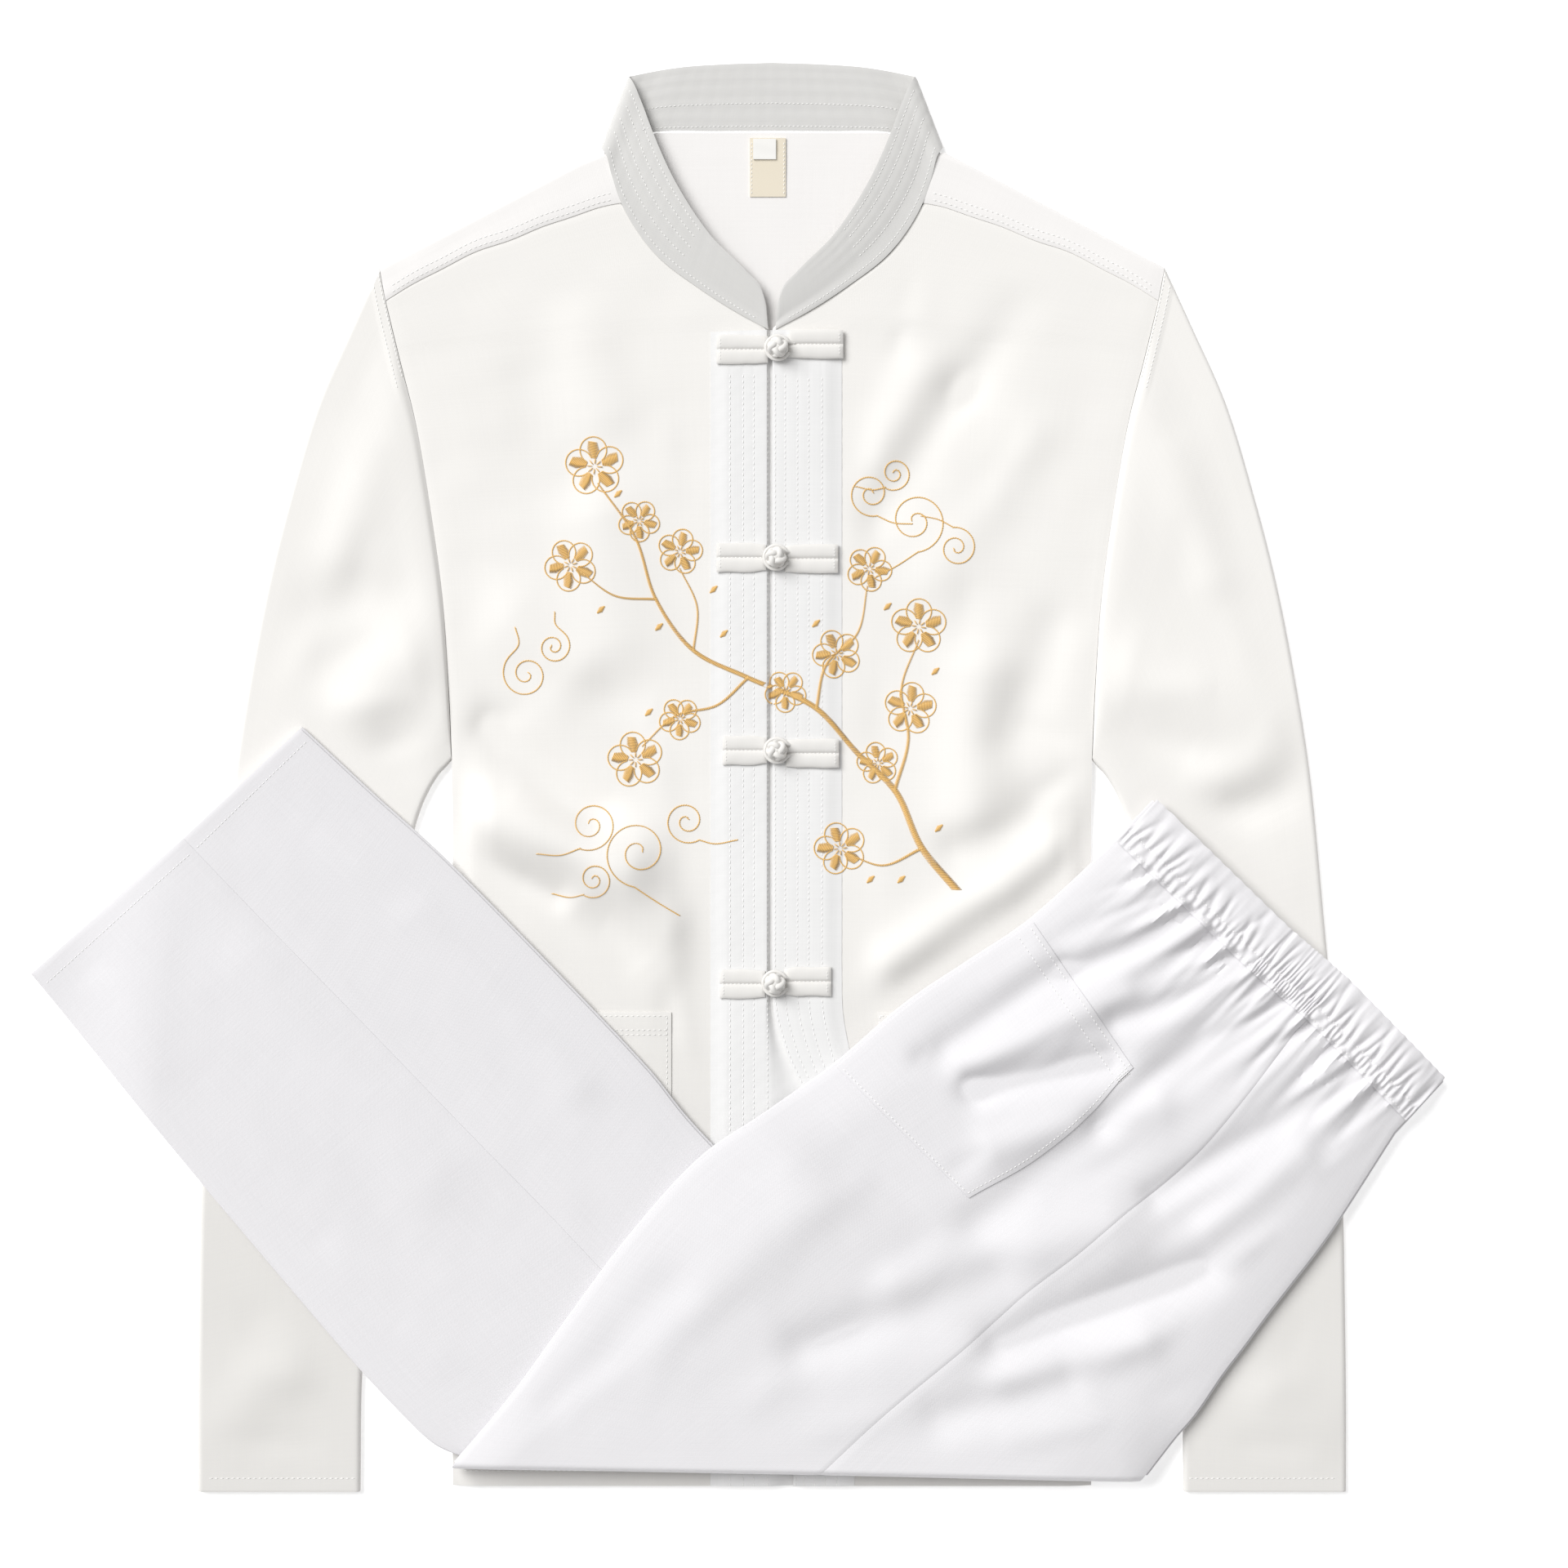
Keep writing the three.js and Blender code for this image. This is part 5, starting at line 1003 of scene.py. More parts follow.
def legSurface(leg, along, across, rise=0.0):
    # the underside of the cloth that lies on the folded layers
    x, y = legPoint(leg, along, across)
    return grid(x, y, leg["support"](x, y) + layersThick(leg, along, across, x, y) + gap + rise)


def setBack(points, edge, towards, distance):
    way = points[:, towards] - points[:, edge]
    way[:, 2] = 0
    points[:, edge] += unit(way) * distance


def kneeWrap(top, under):
    # the thigh cloth turns down round the knee fold
    turns = np.radians(np.linspace(75, -90, 12))
    reach = 5.5
    way = top[-1] - top[-2]
    way[:, 2] = 0
    way = unit(way)
    base = jacketSupport(top[-1][:, 0], top[-1][:, 1])
    centre = (top[-1][:, 2] + base) / 2
    tall = (top[-1][:, 2] - base) / 2
    wraps = []
    for start, less in ((top, 0), (under, legCloth)):
        rows = []
        for turn in turns:
            ring = start[-1] + way * ((reach - less) * math.cos(turn))
            ring[:, 2] = centre + (tall - less) * math.sin(turn)
            rows.append(ring)
        wraps.append(np.concatenate([start, np.array(rows)]))
    return wraps


def buildLegPanel(name, leg, alongs, acrosses, node, seamAtStart, flat, area, rest, wrap=False):
    under = legSurface(leg, alongs[:, None], acrosses[None, :])
    setBack(under, *((0, 1) if seamAtStart else (-1, -2)), seamHalf)
    top = lifted(under, legCloth)
    if wrap:
        top, under = kneeWrap(top, under)
    panel = clothWall(name, top, under, trouserLinen, pinch=0.34)
    return finishPiece(panel, [node], flat, restsOn=[rest], area=area)


def buildLayers(name, node, leg, alongs, acrosses, before):
    # the folded layers below, as one rounded body with a groove between the layers at each edge
    rings = []
    on = [(*legPoint(leg, np.full(acrosses.shape, a), acrosses), a, 1) for a in alongs]
    for x, y, along, flatten in before + on:
        low = grid(x, y, leg["support"](x, y))
        tall = layersThick(leg, np.full(acrosses.shape, along), acrosses, x, y) * flatten
        edge = np.minimum(acrosses, leg["rails"] - 1 - acrosses)
        high = lifted(low, tall - 1.3 * smooth(0.02, 0.3, edge))

        def edges(start, end, way):
            way = way.copy()
            way[2] = 0
            shares = np.linspace(0, 1, 13)[1:-1]
            bulge = 1.5 * np.abs(np.sin(2 * math.pi * shares)) ** 0.6
            return np.array([lerp(start, end, s) + unit(way) * b for s, b in zip(shares, bulge)])

        ring = np.concatenate([high, edges(high[-1], low[-1], low[-1] - low[-2]), low[::-1],
                               edges(low[0], high[0], low[0] - low[1])])
        rings.append(ring)
    rings = np.array(rings)
    count = rings.shape[1]
    points = np.concatenate([rings.reshape(-1, 3), rings[:1].mean(axis=1), rings[-1:].mean(axis=1)])
    i, j = np.meshgrid(np.arange(len(rings) - 1), np.arange(count), indexing="ij")
    j2 = (j + 1) % count
    faces = np.stack([i * count + j, i * count + j2, (i + 1) * count + j2, (i + 1) * count + j], -1)
    uv = np.stack([np.stack([(j + b) * 2.0, (i + a) * 4.0], -1)
                   for a, b in ((0, 0), (0, 1), (1, 1), (1, 0))], 2).reshape(-1, 4, 2)
    # end caps as strips between the upper and lower cloth
    n = len(acrosses)
    capFaces, capUvs = [], []
    ids = np.arange(count)
    upper = np.concatenate([ids[-5:], ids[:n], ids[n:n + 5]])
    lower = np.concatenate([ids[-6:-11:-1], ids[n + 11:2 * n + 11][::-1], ids[n + 10:n + 5:-1]])
    for start, flip in ((0, False), ((len(rings) - 1) * count, True)):
        for k in range(len(upper) - 1):
            quad = [upper[k] + start, upper[k + 1] + start, lower[k + 1] + start, lower[k] + start]
            capFaces.append(quad[::-1] if flip else quad)
            capUvs.append([[k * 2.0, 0], [k * 2.0 + 2, 0], [k * 2.0 + 2, 6], [k * 2.0, 6]])
    faces, uv = facingOut(points, np.concatenate([faces.reshape(-1, 4), np.array(capFaces)]),
                          np.concatenate([uv, np.array(capUvs)]))
    body = newObject(name, points, faces, uv, trouserLinen)
    return finishPiece(body, [node])


shinAlongs = np.linspace(0, 7, 170)
shinAcross = {"front": np.unique(np.concatenate([np.linspace(0, 0.2, 8), np.linspace(0.2, 1, 38)])),
              "back": np.unique(np.concatenate([np.linspace(1, 1.8, 38), np.linspace(1.8, 2, 8)]))}
edgeAcross = np.array([0, 0.04, 0.1, 0.2, 0.3])
layerAcross = np.concatenate([edgeAcross, np.linspace(0.4, 1.6, 15), 2 - edgeAcross[::-1]])
buildLayers("shinLayers", "shin_layers", shin, np.linspace(0, 7, 70), layerAcross, [])
buildLegPanel("rightLegFront", shin, shinAlongs, shinAcross["front"], "right_leg_front", False,
              (0.14, 0.46), None, "shinLayers")
buildLegPanel("rightLegBack", shin, shinAlongs, shinAcross["back"], "right_leg_back", True,
              (0.2, 0.62), 0.062, "shinLayers")


def bandPoint(across, out):
    x, y = legPoint(thigh, np.zeros(np.shape(across)), across)
    return x + out * band["outX"], y + out * band["outY"]


def bandFlatten(out):
    return lerp(1, 0.62, smooth(14, band["reach"], out))


thighAlongs = np.concatenate([np.linspace(-1.15, 0, 12)[:-1], np.linspace(0, 1.4, 46)[:-1],
                              np.linspace(1.4, 10, 150)])
thighAcross = {"front": np.unique(np.concatenate([np.linspace(0, 0.15, 8), np.linspace(0.15, 2, 104)])),
               "back": np.unique(np.concatenate([np.linspace(2, 2.85, 40), np.linspace(2.85, 3, 8)]))}
layerAcross = np.concatenate([edgeAcross, np.linspace(0.4, 2.6, 24), 3 - edgeAcross[::-1]])
before = [(*bandPoint(layerAcross, out), 0.0, bandFlatten(out)) for out in (42, 31, 16, 6)]
buildLayers("thighLayers", "thigh_layers", thigh, np.linspace(0, 10, 100), layerAcross, before)
buildLegPanel("leftLegFront", thigh, thighAlongs, thighAcross["front"], "left_leg_front", False,
              (0.27, 0.6), 0.088, "thighLayers", wrap=True)
buildLegPanel("leftLegBack", thigh, thighAlongs, thighAcross["back"], "left_leg_back", True,
              (0.2, 0.46), 0.04, "thighLayers", wrap=True)

pocketAlong, pocketAcross = np.linspace(1, 4, 84), np.linspace(0.012, 1, 56)
under = legSurface(thigh, pocketAlong[:, None], pocketAcross[None, :], legCloth + 0.15)
sidePocket = clothWall("sidePocket", lifted(under, 0.75), under, trouserLinen, pinch=0.3)
finishPiece(sidePocket, ["side_pocket"], (0.115, 0.155), restsOn=["leftLegFront"], area=0.0145)
print("legs made")

# Waistband: an elastic channel of tiny gathers, and the ruffle beyond it
alongCount = band["gathers"] * 14 + 1
s = np.linspace(0, 1, alongCount)[None, :]
out = np.concatenate([np.linspace(9.6, 21, 20), np.linspace(21, band["reach"], 26)[1:]])[:, None]
across = np.broadcast_to(s * 3, (len(out), alongCount))
x, y = bandPoint(across, out)
gathered = layersThick(thigh, -out / 10, across, x, y)
flatLayers = plainThick(thigh, np.minimum(across, 3 - across))
layers = lerp(gathered, flatLayers, smooth(10, 16, out)) * bandFlatten(out)
spread = s + 0.006 * np.sin(2 * math.pi * 3.3 * s + 1) + 0.004 * np.sin(2 * math.pi * 8.1 * s)
lean = 0.05 * (out - 20) * np.sin(2 * math.pi * 4.3 * s + 0.5)
ruffleTurn = 2 * math.pi * band["gathers"] * spread + 1.5 * np.sin(2 * math.pi * 6.2 * s) + lean
crest = (0.5 + 0.5 * np.sin(ruffleTurn)) ** 1.7
second = (0.5 + 0.5 * np.sin(2 * math.pi * 57 * spread + 1.2 * np.sin(2 * math.pi * 9.4 * s) - lean)) ** 1.5
tiny = 0.5 + 0.5 * np.sin(2 * math.pi * 62 * spread + 1.4 * np.sin(2 * math.pi * 11 * s))
strength = 0.62 + 0.38 * np.sin(2 * math.pi * 7.7 * s + 2) * np.sin(2 * math.pi * 2.9 * s)
swayRuffle = np.interp(out, [12, 19, 22, 29, 37, band["reach"]], [0, 0.3, 0.55, 0.5, 0.4, 0.3])
swaySecond = np.interp(out, [12, 20, 24, 34, band["reach"]], [0, 0.4, 0.35, 0.1, 0])
pleats = np.random.default_rng(11)
ruffle, place = np.zeros(across.shape), 1.0
while place < waistLong - 1:
    # one soft pleat: a groove that fades towards the outer edge, with a low roll beside it
    deep, wide, reaches = pleats.uniform(1.3, 2.7), pleats.uniform(0.8, 1.5), pleats.uniform(15, 38)
    away = s * waistLong - place - pleats.uniform(-0.22, 0.22) * (out - 20)
    fade = smooth(20 + reaches, 18, out) ** 0.8 * smooth(16.5, 21, out)
    wide = wide * (1 + 0.05 * np.maximum(out - 20, 0))
    roll = 0.55 * np.exp(-((away - 2.1 * wide) / (1.8 * wide)) ** 2)
    ruffle += deep * fade * (roll - np.exp(-(away / wide) ** 2))
    place += pleats.uniform(2.6, 7.4)
swayTiny = np.interp(out, [9.6, 11, 13, 16, 19, 22, 28], [0.5, 0.8, 1.3, 1.4, 1.0, 0.4, 0])
rowsSink = sum(0.85 * np.exp(-((out - channel[key]) / 1.15) ** 2) for key in ("inner", "outer"))
wave = crest * swayRuffle * strength + second * swaySecond + tiny * swayTiny - rowsSink + 0.85
wave = np.maximum(wave + ruffle + 1.5 * smooth(18, 24, out), 0.05)
seat = lerp(legCloth + 0.06, band["clear"], smooth(11, 15, out))
wave = lerp(wave - 0.45, wave, smooth(9.6, 13, out))
under = grid(x, y, thighSupport(x, y) + layers + gap + seat + wave * 0.85)
edgeTurn = 0.2 * np.sin(ruffleTurn + 0.6) * smooth(36, 44, out)
under[..., 0] += band["outX"] * edgeTurn
under[..., 1] += band["outY"] * edgeTurn
waistband = clothWall("waistband", lifted(under, 1.2), under, trouserLinen, pinch=0.3)
finishPiece(waistband, ["trouser_waistband"], (0.3, 0.036), held="gathered",
            restsOn=["thighLayers"])
print("waistband made")


# Thread: every stitch is an edge, and one Geometry Nodes tree lays a strand along each
def stitchTree():
    tree = bpy.data.node_groups.new("threadStitches", "GeometryNodeTree")
    link = tree.links.new
    socket(tree, "Geometry", "NodeSocketGeometry")
    socket(tree, "Thickness", "NodeSocketFloat", value=0.0005)
    socket(tree, "Flatness", "NodeSocketFloat", value=0.7)
    socket(tree, "Material", "NodeSocketMaterial")
    socket(tree, "Geometry", "NodeSocketGeometry", "OUTPUT")
    given, out = groupNode(tree, "NodeGroupInput", (-900, 0)), groupNode(tree, "NodeGroupOutput", (900, 0))
    ends = groupNode(tree, "GeometryNodeInputMeshEdgeVertices", (-900, -250))
    between = groupNode(tree, "ShaderNodeVectorMath", (-700, -250), operation="SUBTRACT")
    link(ends.outputs["Position 2"], between.inputs[0])
    link(ends.outputs["Position 1"], between.inputs[1])
    capture = groupNode(tree, "GeometryNodeCaptureAttribute", (-500, 0), domain="EDGE")
    capture.capture_items.new("VECTOR", "Way")
    link(given.outputs["Geometry"], capture.inputs["Geometry"])
    link(between.outputs[0], capture.inputs["Way"])
    spots = groupNode(tree, "GeometryNodeMeshToPoints", (-300, 0), mode="EDGES")
    link(capture.outputs["Geometry"], spots.inputs["Mesh"])
    strand = groupNode(tree, "GeometryNodeMeshIcoSphere", (-300, -450), {"Radius": 0.5, "Subdivisions": 1})
    long = groupNode(tree, "ShaderNodeVectorMath", (-300, -250), operation="LENGTH")
    link(capture.outputs["Way"], long.inputs[0])
    flat = mathNode(tree, "MULTIPLY", given.outputs["Thickness"], given.outputs["Flatness"], (-300, -600))
    size = groupNode(tree, "ShaderNodeCombineXYZ", (-100, -250))
    for k, measure in enumerate((long.outputs["Value"], given.outputs["Thickness"], flat)):
        link(measure, size.inputs[k])
    turn = groupNode(tree, "FunctionNodeAlignRotationToVector", (-100, -450), axis="X", pivot_axis="AUTO")
    link(capture.outputs["Way"], turn.inputs["Vector"])
    place = groupNode(tree, "GeometryNodeInstanceOnPoints", (100, 0))
    for source, key in ((spots, "Points"), (strand, "Instance"), (turn, "Rotation"), (size, "Scale")):
        link(source.outputs[0], place.inputs[key])
    real = groupNode(tree, "GeometryNodeRealizeInstances", (300, 0))
    link(place.outputs[0], real.inputs[0])
    soft = groupNode(tree, "GeometryNodeSetShadeSmooth", (500, 0))
    link(real.outputs[0], soft.inputs["Geometry"])
    paint = groupNode(tree, "GeometryNodeSetMaterial", (700, 0))
    link(soft.outputs[0], paint.inputs["Geometry"])
    link(given.outputs["Material"], paint.inputs["Material"])
    link(paint.outputs[0], out.inputs[0])
    return tree


threadStitches = stitchTree()


def layThread(name, edges, thickness, flatness, material):
    # edges: pairs of points in millimetres, one pair for each stitch
    edges = np.asarray(edges, float)
    mesh = bpy.data.meshes.new(name + "Edges")
    count = len(edges)
    mesh.from_pydata((edges.reshape(-1, 3) * metre).tolist(), [(2 * k, 2 * k + 1) for k in range(count)], [])
    guide = addObject(name, mesh)
    modifier = guide.modifiers.new("stitches", "NODES")
    modifier.node_group = threadStitches
    values = {"Thickness": thickness * metre, "Flatness": flatness, "Material": material}
    for item in threadStitches.interface.items_tree:
        if item.in_out == "INPUT" and item.name in values:
            modifier[item.identifier] = values[item.name]
    graph = bpy.context.evaluated_depsgraph_get()
    plain = bpy.data.meshes.new_from_object(guide.evaluated_get(graph), depsgraph=graph)
    guide.modifiers.clear()
    guide.data = plain
    bpy.data.meshes.remove(mesh)
    plain.name = name
    print(name, count, "stitches")
    return finishPiece(guide, [])


class Surface:
    # what lies on top at a place, found by looking straight down on the pieces
    def __init__(self, names):
        meshes = [made[name].data for name in names]
        self.trees = [BVHTree.FromPolygons([v.co for v in mesh.vertices], [p.vertices for p in mesh.polygons])
                      for mesh in meshes]

    def drop(self, x, y):
        hits = [tree.ray_cast(Vector((x * metre, y * metre, 0.2)), Vector((0, 0, -1)))[0] for tree in self.trees]
        heights = [hit.z for hit in hits if hit is not None]
        return max(heights) / metre if heights else None

    def pair(self, ends, lift):
        # both ends of a stitch laid on the cloth, or nothing where one misses it
        heights = [self.drop(x, y) for x, y in ends]
        return None if None in heights else [(x, y, z + lift) for (x, y), z in zip(ends, heights)]


def pathReach(path):
    # how far along a flat path each of its points is
    return np.concatenate([[0], np.cumsum(np.hypot(*np.diff(path, axis=0).T))])


def pathAt(path, reach, at):
    return np.stack([np.interp(at, reach, path[:, 0]), np.interp(at, reach, path[:, 1])], -1)


def sew(surface, path, stitch=3.2, share=0.72, lift=0.1, hidden=()):
    # a row of machine stitches along a path, dropped on the cloth
    path = np.asarray(path, float)
    reach = pathReach(path)
    for start in np.arange(0, reach[-1] - stitch, stitch):
        ends = pathAt(path, reach, np.array([start, start + stitch * share]))
        if any(outsideDistance(outline, x, y) == 0 for outline in hidden for x, y in ends):
            continue
        pair = surface.pair(ends, lift)
        if pair and abs(pair[0][2] - pair[1][2]) < 1.2:
            sewn.append(pair)


def onSide(sign, x, y):
    return np.stack([centreX + sign * x, y], -1)


jacketTop = Surface(["frontRight", "frontLeft", "placketRight", "placketLeft", "pocketRight", "pocketLeft",
                     "backPanel", "sleeveRight", "sleeveLeft", "collarBand", "neckLabel", "sizeTag"])
trouserTop = Surface(["rightLegFront", "rightLegBack", "leftLegFront", "leftLegBack", "sidePocket", "waistband"])
covers = [shinOutline, thighOutline]
sewn = []

for side, own in sides.items():
    sign = own["sign"]
    rows = np.linspace(0, neckRow, 300)
    for place in own["stitchRows"]:
        line = frontAt(side, rows, np.full(rows.shape, float(place)))[:, :2]
        sew(jacketTop, line[line[:, 1] < 238], hidden=covers)
    # armhole and shoulder
    for row in (0.07, 0.31):
        tapeX, tapeY = sleeveShape(np.full(60, row), np.linspace(0.06, 2.3, 60), side)[:2]
        sew(jacketTop, onSide(sign, tapeX, tapeY), stitch=2.6)
    seamX, seamY = shoulderSeam(np.linspace(0.04, 0.98, 60))
    for away in (2.4, 6.4):
        sew(jacketTop, onSide(sign, seamX, seamY + away))
    # pocket: twice across its hem and once more below, and down its sides; then cuff and hem
    px0, px1 = own["pocketFrom"] + 2.4, 171.5
    for x0, y0, x1, y1 in ((px0, -140.4, px1, -140.4), (px0, -148.6, px1, -148.6), (px0, -151.4, px1, -151.4),
                           (px0, -140, px0, -275), (px1, -140, px1, -275), (244.5, -411.5, 334, -411.5),
                           (44, -407, 184, -407)):
        sew(jacketTop, [(centreX + sign * x0, y0), (centreX + sign * x1, y1)], hidden=covers)

# collar rows run up the bands and fade out low on the front; one row follows the seam
halfSeam, halfTop = spline(knots, table[:, :3], at), spline(knots, table[:, 3:], at)
for sign in (-1, 1):
    for k, place in enumerate(collar["rows"]):
        line = lerp(halfSeam, halfTop, place)
        line = line[(line[:, 2] > 4.6) & (line[:, 1] > (268 if k == 0 else 300 + 5 * k))]
        sew(jacketTop, onSide(sign, line[:, 0], line[:, 1]), stitch=2.6)
backX = np.linspace(-76, 76, 80)
for place in (0.06, 0.4):
    low = np.interp(np.abs(backX), [0, 34, 68, 95], [379.8, 379.6, 379.0, 371.6])
    high = np.interp(np.abs(backX), [0, 28, 55, 79], [419.5, 418.6, 416.6, 412.4])
    sew(jacketTop, onSide(1, backX, lerp(low, high, place)), stitch=2.6)
for x in (-11.9, 7.1):
    sew(jacketTop, [(centreX + x, 342), (centreX + x, 374)], stitch=2.4)
print("jacket sewn", len(sewn))


def legLine(leg, pairs, count=120):
    pairs = np.array(pairs, float)
    t = np.linspace(0, len(pairs) - 1, count)
    along, across = (np.interp(t, range(len(pairs)), pairs[:, k]) for k in (0, 1))
    return np.stack(legPoint(leg, along, across), -1)


trouserRows = [
    (thigh, [(1.06, 0.03), (1.06, 0.97)]), (thigh, [(1.25, 0.03), (1.25, 0.97)]),
    (thigh, [(1.0, 0.975), (4.0, 0.975)]), (thigh, [(3.96, 0.04), (3.96, 0.97)]),
    (shin, [(0.2, 0.02), (0.2, 0.98)]), (shin, [(0.2, 1.02), (0.2, 1.98)])]
for leg, pairs in trouserRows:
    sew(trouserTop, legLine(leg, pairs), stitch=2.8)
for out in (channel["inner"], channel["outer"]):
    sew(trouserTop, np.stack(bandPoint(np.linspace(0.05, 2.95, 200), out), -1), stitch=2.2, lift=0.15)
for k in range(3):
    # the bar tack at the pocket's mouth
    sew(trouserTop, [(221 + 0.6 * k, -177.5 - 0.9 * k), (229 + 0.6 * k, -170.5 - 0.9 * k)], stitch=1.6, share=0.9,
        lift=0.25)
for number, (knotY, knotLong, loopY, loopLong, knotX, ballY) in enumerate(frogs, 1):
    frogTop = Surface([f"frogKnotLeg{number}", f"frogLoopLeg{number}"])
    kx, end, start = frogEnds(knotX)
    for x, y in ((end - knotLong + 2.2, knotY), (start + loopLong - 2.2, loopY)):
        for way in (-1, 1):
            sew(frogTop, [(x, y + way * 1.0), (x, y + way * 8)], stitch=1.9)
    for x0, x1, y in ((end - knotLong + 1, end, knotY), (start + 6, start + loopLong - 1, loopY)):
        sew(frogTop, [(x0, y), (x1, y)], stitch=2.4)
layThread("topStitching", sewn, 0.55, 0.75, sewingThread)

# Gold embroidery: a plum branch with blossoms and rolling clouds
gold = []
goldTop = Surface(["frontRight", "frontLeft", "placketRight", "placketLeft"])


def goldEdge(a, b, lift=0.25):
    pair = goldTop.pair((a, b), lift)
    if pair:
        gold.append(pair)


def pathSteps(path, step):
    # points at even steps along a path with the way it runs there, or none where it is too short
    path = np.asarray(path, float)
    reach = pathReach(path)
    points = pathAt(path, reach, np.arange(0, reach[-1], step))
    return (points, unit(np.gradient(points, axis=0))) if len(points) >= 3 else ([], [])


def stemStitch(path, stitch=2.6, step=1.5):
    # short slanting stitches that overlap along a line
    for point, way in zip(*pathSteps(path, step)):
        off = np.array([-way[1], way[0]]) * 0.3
        goldEdge(point - way * stitch / 2 - off, point + way * stitch / 2 + off)


def satinStitch(path, widths, slant=0.5, step=0.95):
    # close slanting stitches across a line, as wide as it is there
    points, ways = pathSteps(path, step)
    wides = np.interp(np.linspace(0, 1, len(points)), np.linspace(0, 1, len(widths)), widths)
    for point, way, wide in zip(points, ways, wides):
        across = unit(np.array([-way[1], way[0]]) + slant * way) * wide / 2
        goldEdge(point - across, point + across, 0.35)


def curveThrough(points, count=60):
    points = np.asarray(points, float)
    reach = pathReach(points)
    return spline(reach, points, np.linspace(0, reach[-1], count))


def heading(angle):
    return np.array([math.cos(angle), math.sin(angle)])


def blossom(x, y, size, turn):
    middle = np.array([x, y])
    for k in range(5):
        angle = turn + k * 2 * math.pi / 5
        centre = middle + 0.56 * size * heading(angle)
        stemStitch([centre + 0.46 * size * heading(a) for a in np.linspace(angle - 2.5, angle + 2.5, 22)], 1.8, 1.1)
        satinStitch([middle + 0.3 * size * heading(angle), middle + 0.86 * size * heading(angle)],
                    [0.24 * size, 0.52 * size, 0.4 * size], 0.25, 0.7)
    for k in range(8):
        way = heading(turn + 0.3 + k * 2 * math.pi / 8)
        goldEdge(middle + 0.06 * size * way, middle + 0.3 * size * way, 0.6)


def cloudScroll(x, y, size, turn, flip):
    # a rolled cloud: a spiral head and a trailing tail
    angles = np.linspace(0, 3.4 * math.pi, 60)
    spiral = [(x + size * (0.12 + 0.085 * a) * math.cos(flip * a + turn),
               y + size * (0.12 + 0.085 * a) * math.sin(flip * a + turn)) for a in angles]
    stemStitch(spiral, 2.2, 1.4)
    endX, endY = spiral[-1]
    tail = curveThrough([(endX, endY), (endX + size * 0.7 * math.cos(turn - 0.4 * flip), endY + size * 0.55
                         * math.sin(turn - 1.2 * flip)), (endX + size * 1.7 * math.cos(turn - 0.9 * flip),
                         endY + size * 1.3 * math.sin(turn - 0.9 * flip))], 24)
    stemStitch(tail, 2.2, 1.4)


branch = {
    "main": ([(128, -66), (108, -42), (92, -8), (70, 14), (46, 40), (6, 58), (-26, 74), (-48, 104), (-60, 140),
              (-82, 172)], [7.5, 6.5, 6.0, 5.0, 5.4, 4.4, 4.0, 3.2, 2.6, 1.6]),
    "twigs": [([(92, -8), (100, 22), (96, 52), (106, 80)], [3.6, 2.6, 1.4]),
              ([(46, 40), (52, 66), (70, 84), (76, 112)], [3.2, 2.2, 1.3]),
              ([(6, 58), (-12, 42), (-36, 36), (-56, 18)], [3.0, 2.2, 1.3]),
              ([(-26, 74), (-24, 100), (-34, 122)], [2.4, 1.8, 1.2]),
              ([(-48, 104), (-72, 106), (-92, 120)], [2.4, 1.8, 1.2]),
              ([(108, -42), (84, -52), (66, -46)], [3.0, 2.0, 1.2])],
    "blossoms": [(106, 88, 16, 0.3), (77, 122, 13, 1.1), (58, 72, 14, 0.7), (101, 40, 15, 0.2), (-60, 10, 16, 0.5),
                 (-34, 34, 12, 0.9), (-34, 132, 13, 0.1), (-98, 124, 15, 0.8), (-84, 182, 17, 0.4),
                 (-58, 150, 12, 1.0), (60, -42, 15, 0.6), (28, 50, 12, 0.9), (82, 8, 12, 0.5)],
    "buds": [(116, 62), (88, 100), (-52, 38), (-14, 110), (-80, 98), (-70, 166), (78, -60), (46, 90), (-46, 88),
             (118, -30), (96, -60), (-8, 84)],
    "clouds": [(-58, -44, 20, 0.2, 1), (-86, -28, 15, 2.4, -1), (-30, -26, 13, 0.9, 1), (-84, -60, 11, 2.2, -1),
               (104, 150, 18, 2.9, -1), (78, 166, 13, 0.6, 1), (128, 134, 12, 3.6, 1), (92, 178, 10, 2.2, -1),
               (-124, 60, 14, 0.5, -1), (-108, 76, 10, 2.8, 1)],
}
path, widths = branch["main"]
satinStitch(curveThrough(path, 120), widths, 0.9)
for path, widths in branch["twigs"]:
    satinStitch(curveThrough(path, 50), widths, 0.8)
for values in branch["blossoms"]:
    blossom(*values)
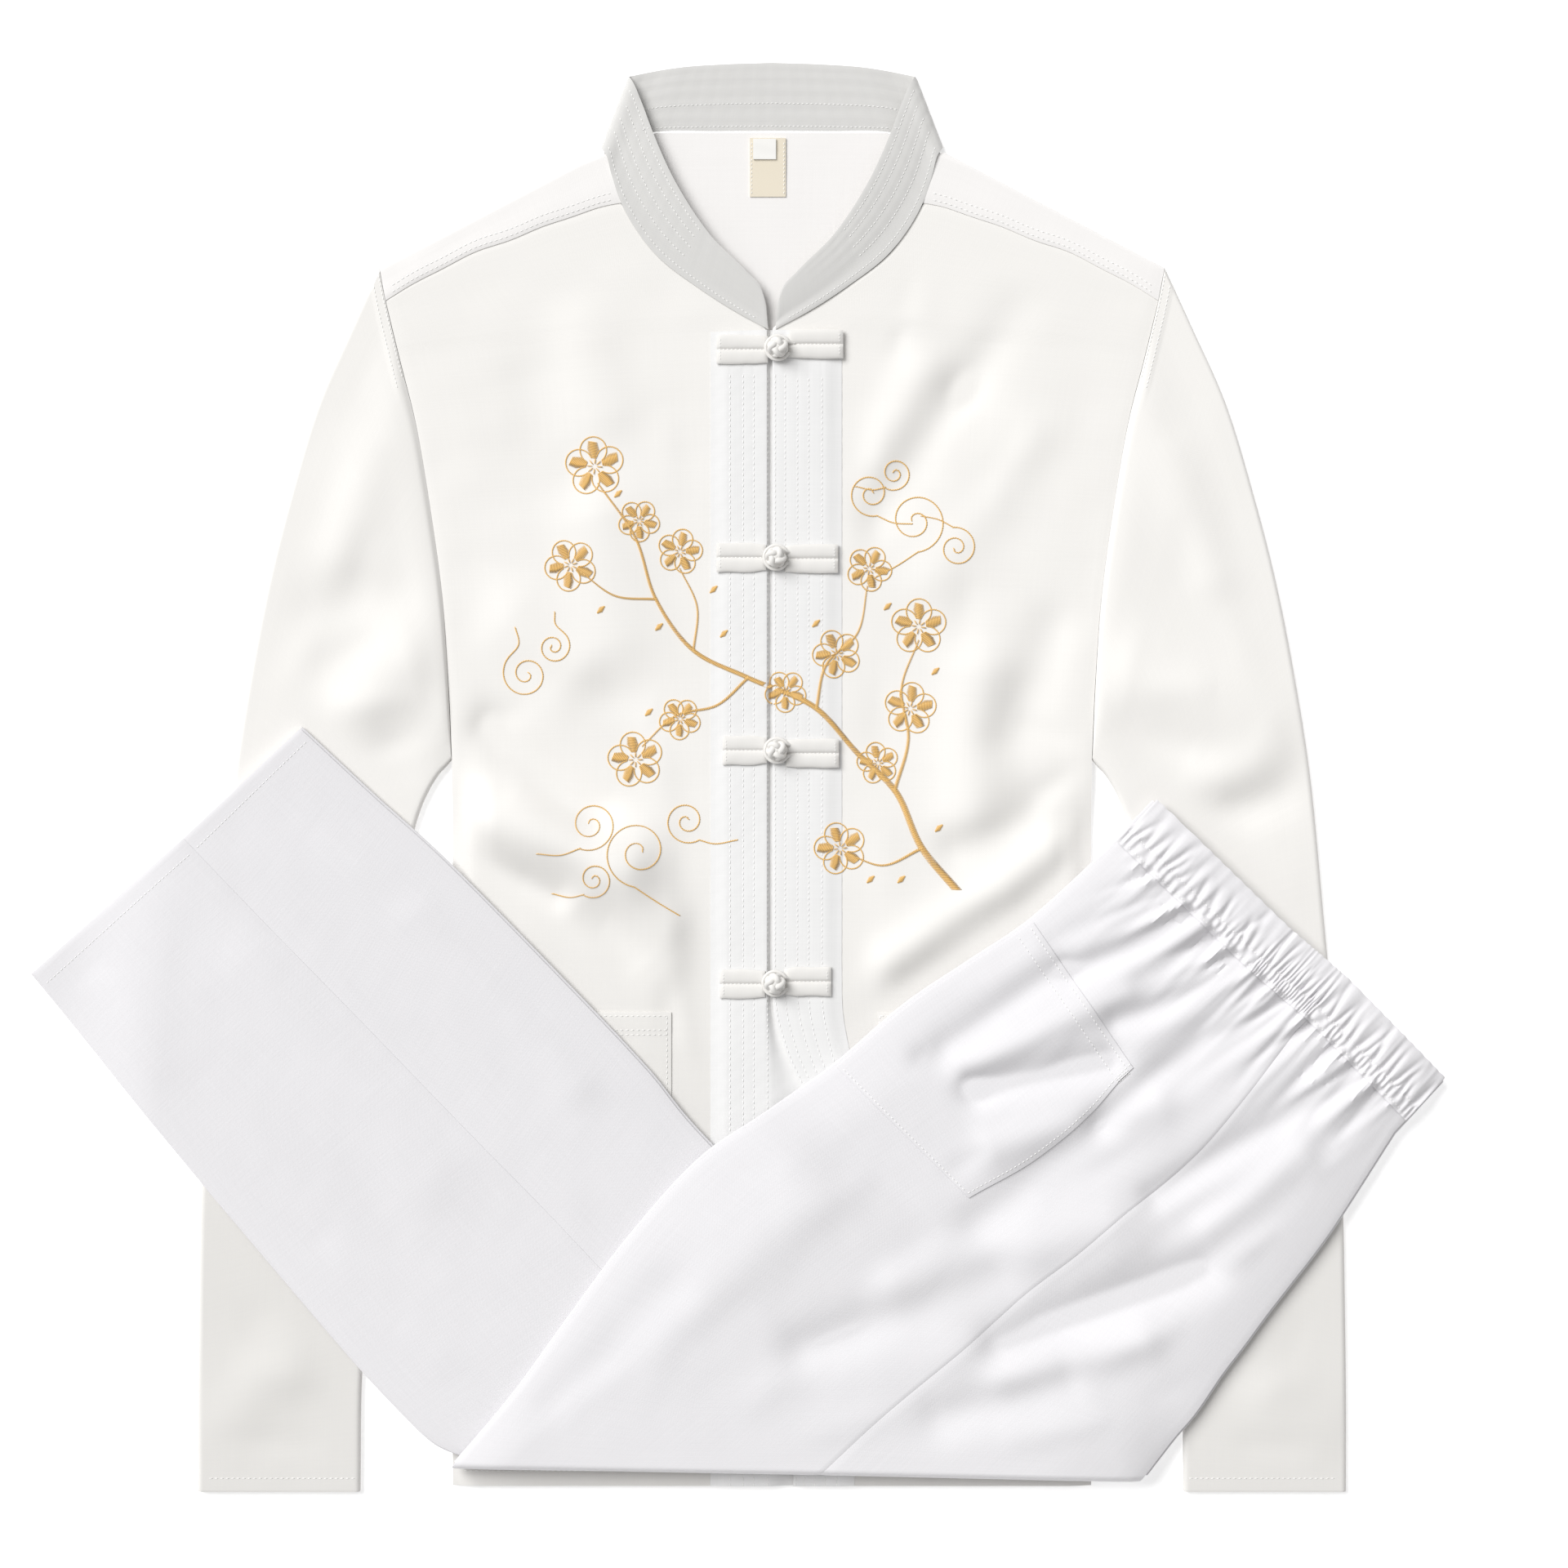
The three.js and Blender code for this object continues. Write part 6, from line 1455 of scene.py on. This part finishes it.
for x, y in branch["buds"]:
    satinStitch([(x - 2.2, y - 2), (x + 2.2, y + 2)], [1.2, 4.2, 1.2], 0.2, 0.6)
for values in branch["clouds"]:
    cloudScroll(*values)
layThread("goldEmbroidery", gold, 0.78, 0.7, goldThread)

for piece, flat, held, restsOn, area in sheets:
    words = {"rests_on": list(restsOn)} if restsOn else {}
    if area:
        words["area"] = area
print("pieces declared", len(made))

# Stage: a white table, soft light from the left and the camera straight above
stage = {"floor": 5.0, "cameraHeight": 2.5, "frame": 0.9216, "lookX": 0.0271, "lookY": -0.0043}
floorMesh = bpy.data.meshes.new("floor")
h = stage["floor"] / 2
floorMesh.from_pydata([(-h, -h, -0.0002), (h, -h, -0.0002), (h, h, -0.0002), (-h, h, -0.0002)], [], [(0, 1, 2, 3)])
floor = addObject("floor", floorMesh)
paper, _, _ = newMaterial("whitePaper", {
    "Base Color": (0.93, 0.93, 0.93, 1), "Roughness": 0.9, "Specular IOR Level": 0.1,
    "Emission Color": (1, 1, 1, 1), "Emission Strength": 0.4})
floorMesh.materials.append(paper)

scene = bpy.context.scene
scene.world = bpy.data.worlds.new("studio")
scene.world.use_nodes = True
setInputs(scene.world.node_tree.nodes["Background"], {"Color": (1, 1, 1, 1), "Strength": 0.44})

key = {"azimuth": math.radians(140), "elevation": math.radians(44), "strength": 2.95, "spread": math.radians(40)}
light = bpy.data.lights.new("keyLight", "SUN")
light.energy, light.angle = key["strength"], key["spread"]
level = math.cos(key["elevation"])
towards = Vector((level * math.cos(key["azimuth"]), level * math.sin(key["azimuth"]), math.sin(key["elevation"])))
addObject("keyLight", light).rotation_euler = towards.to_track_quat("Z", "Y").to_euler()

cameraData = bpy.data.cameras.new("camera")
cameraData.sensor_width = 36
cameraData.lens = 36 * stage["cameraHeight"] / stage["frame"]
camera = addObject("camera", cameraData)
camera.location = (stage["lookX"], stage["lookY"], stage["cameraHeight"])
scene.camera = camera
scene.view_settings.view_transform = "Standard"
scene.view_settings.look = "None"
scene.view_settings.exposure = 0.0
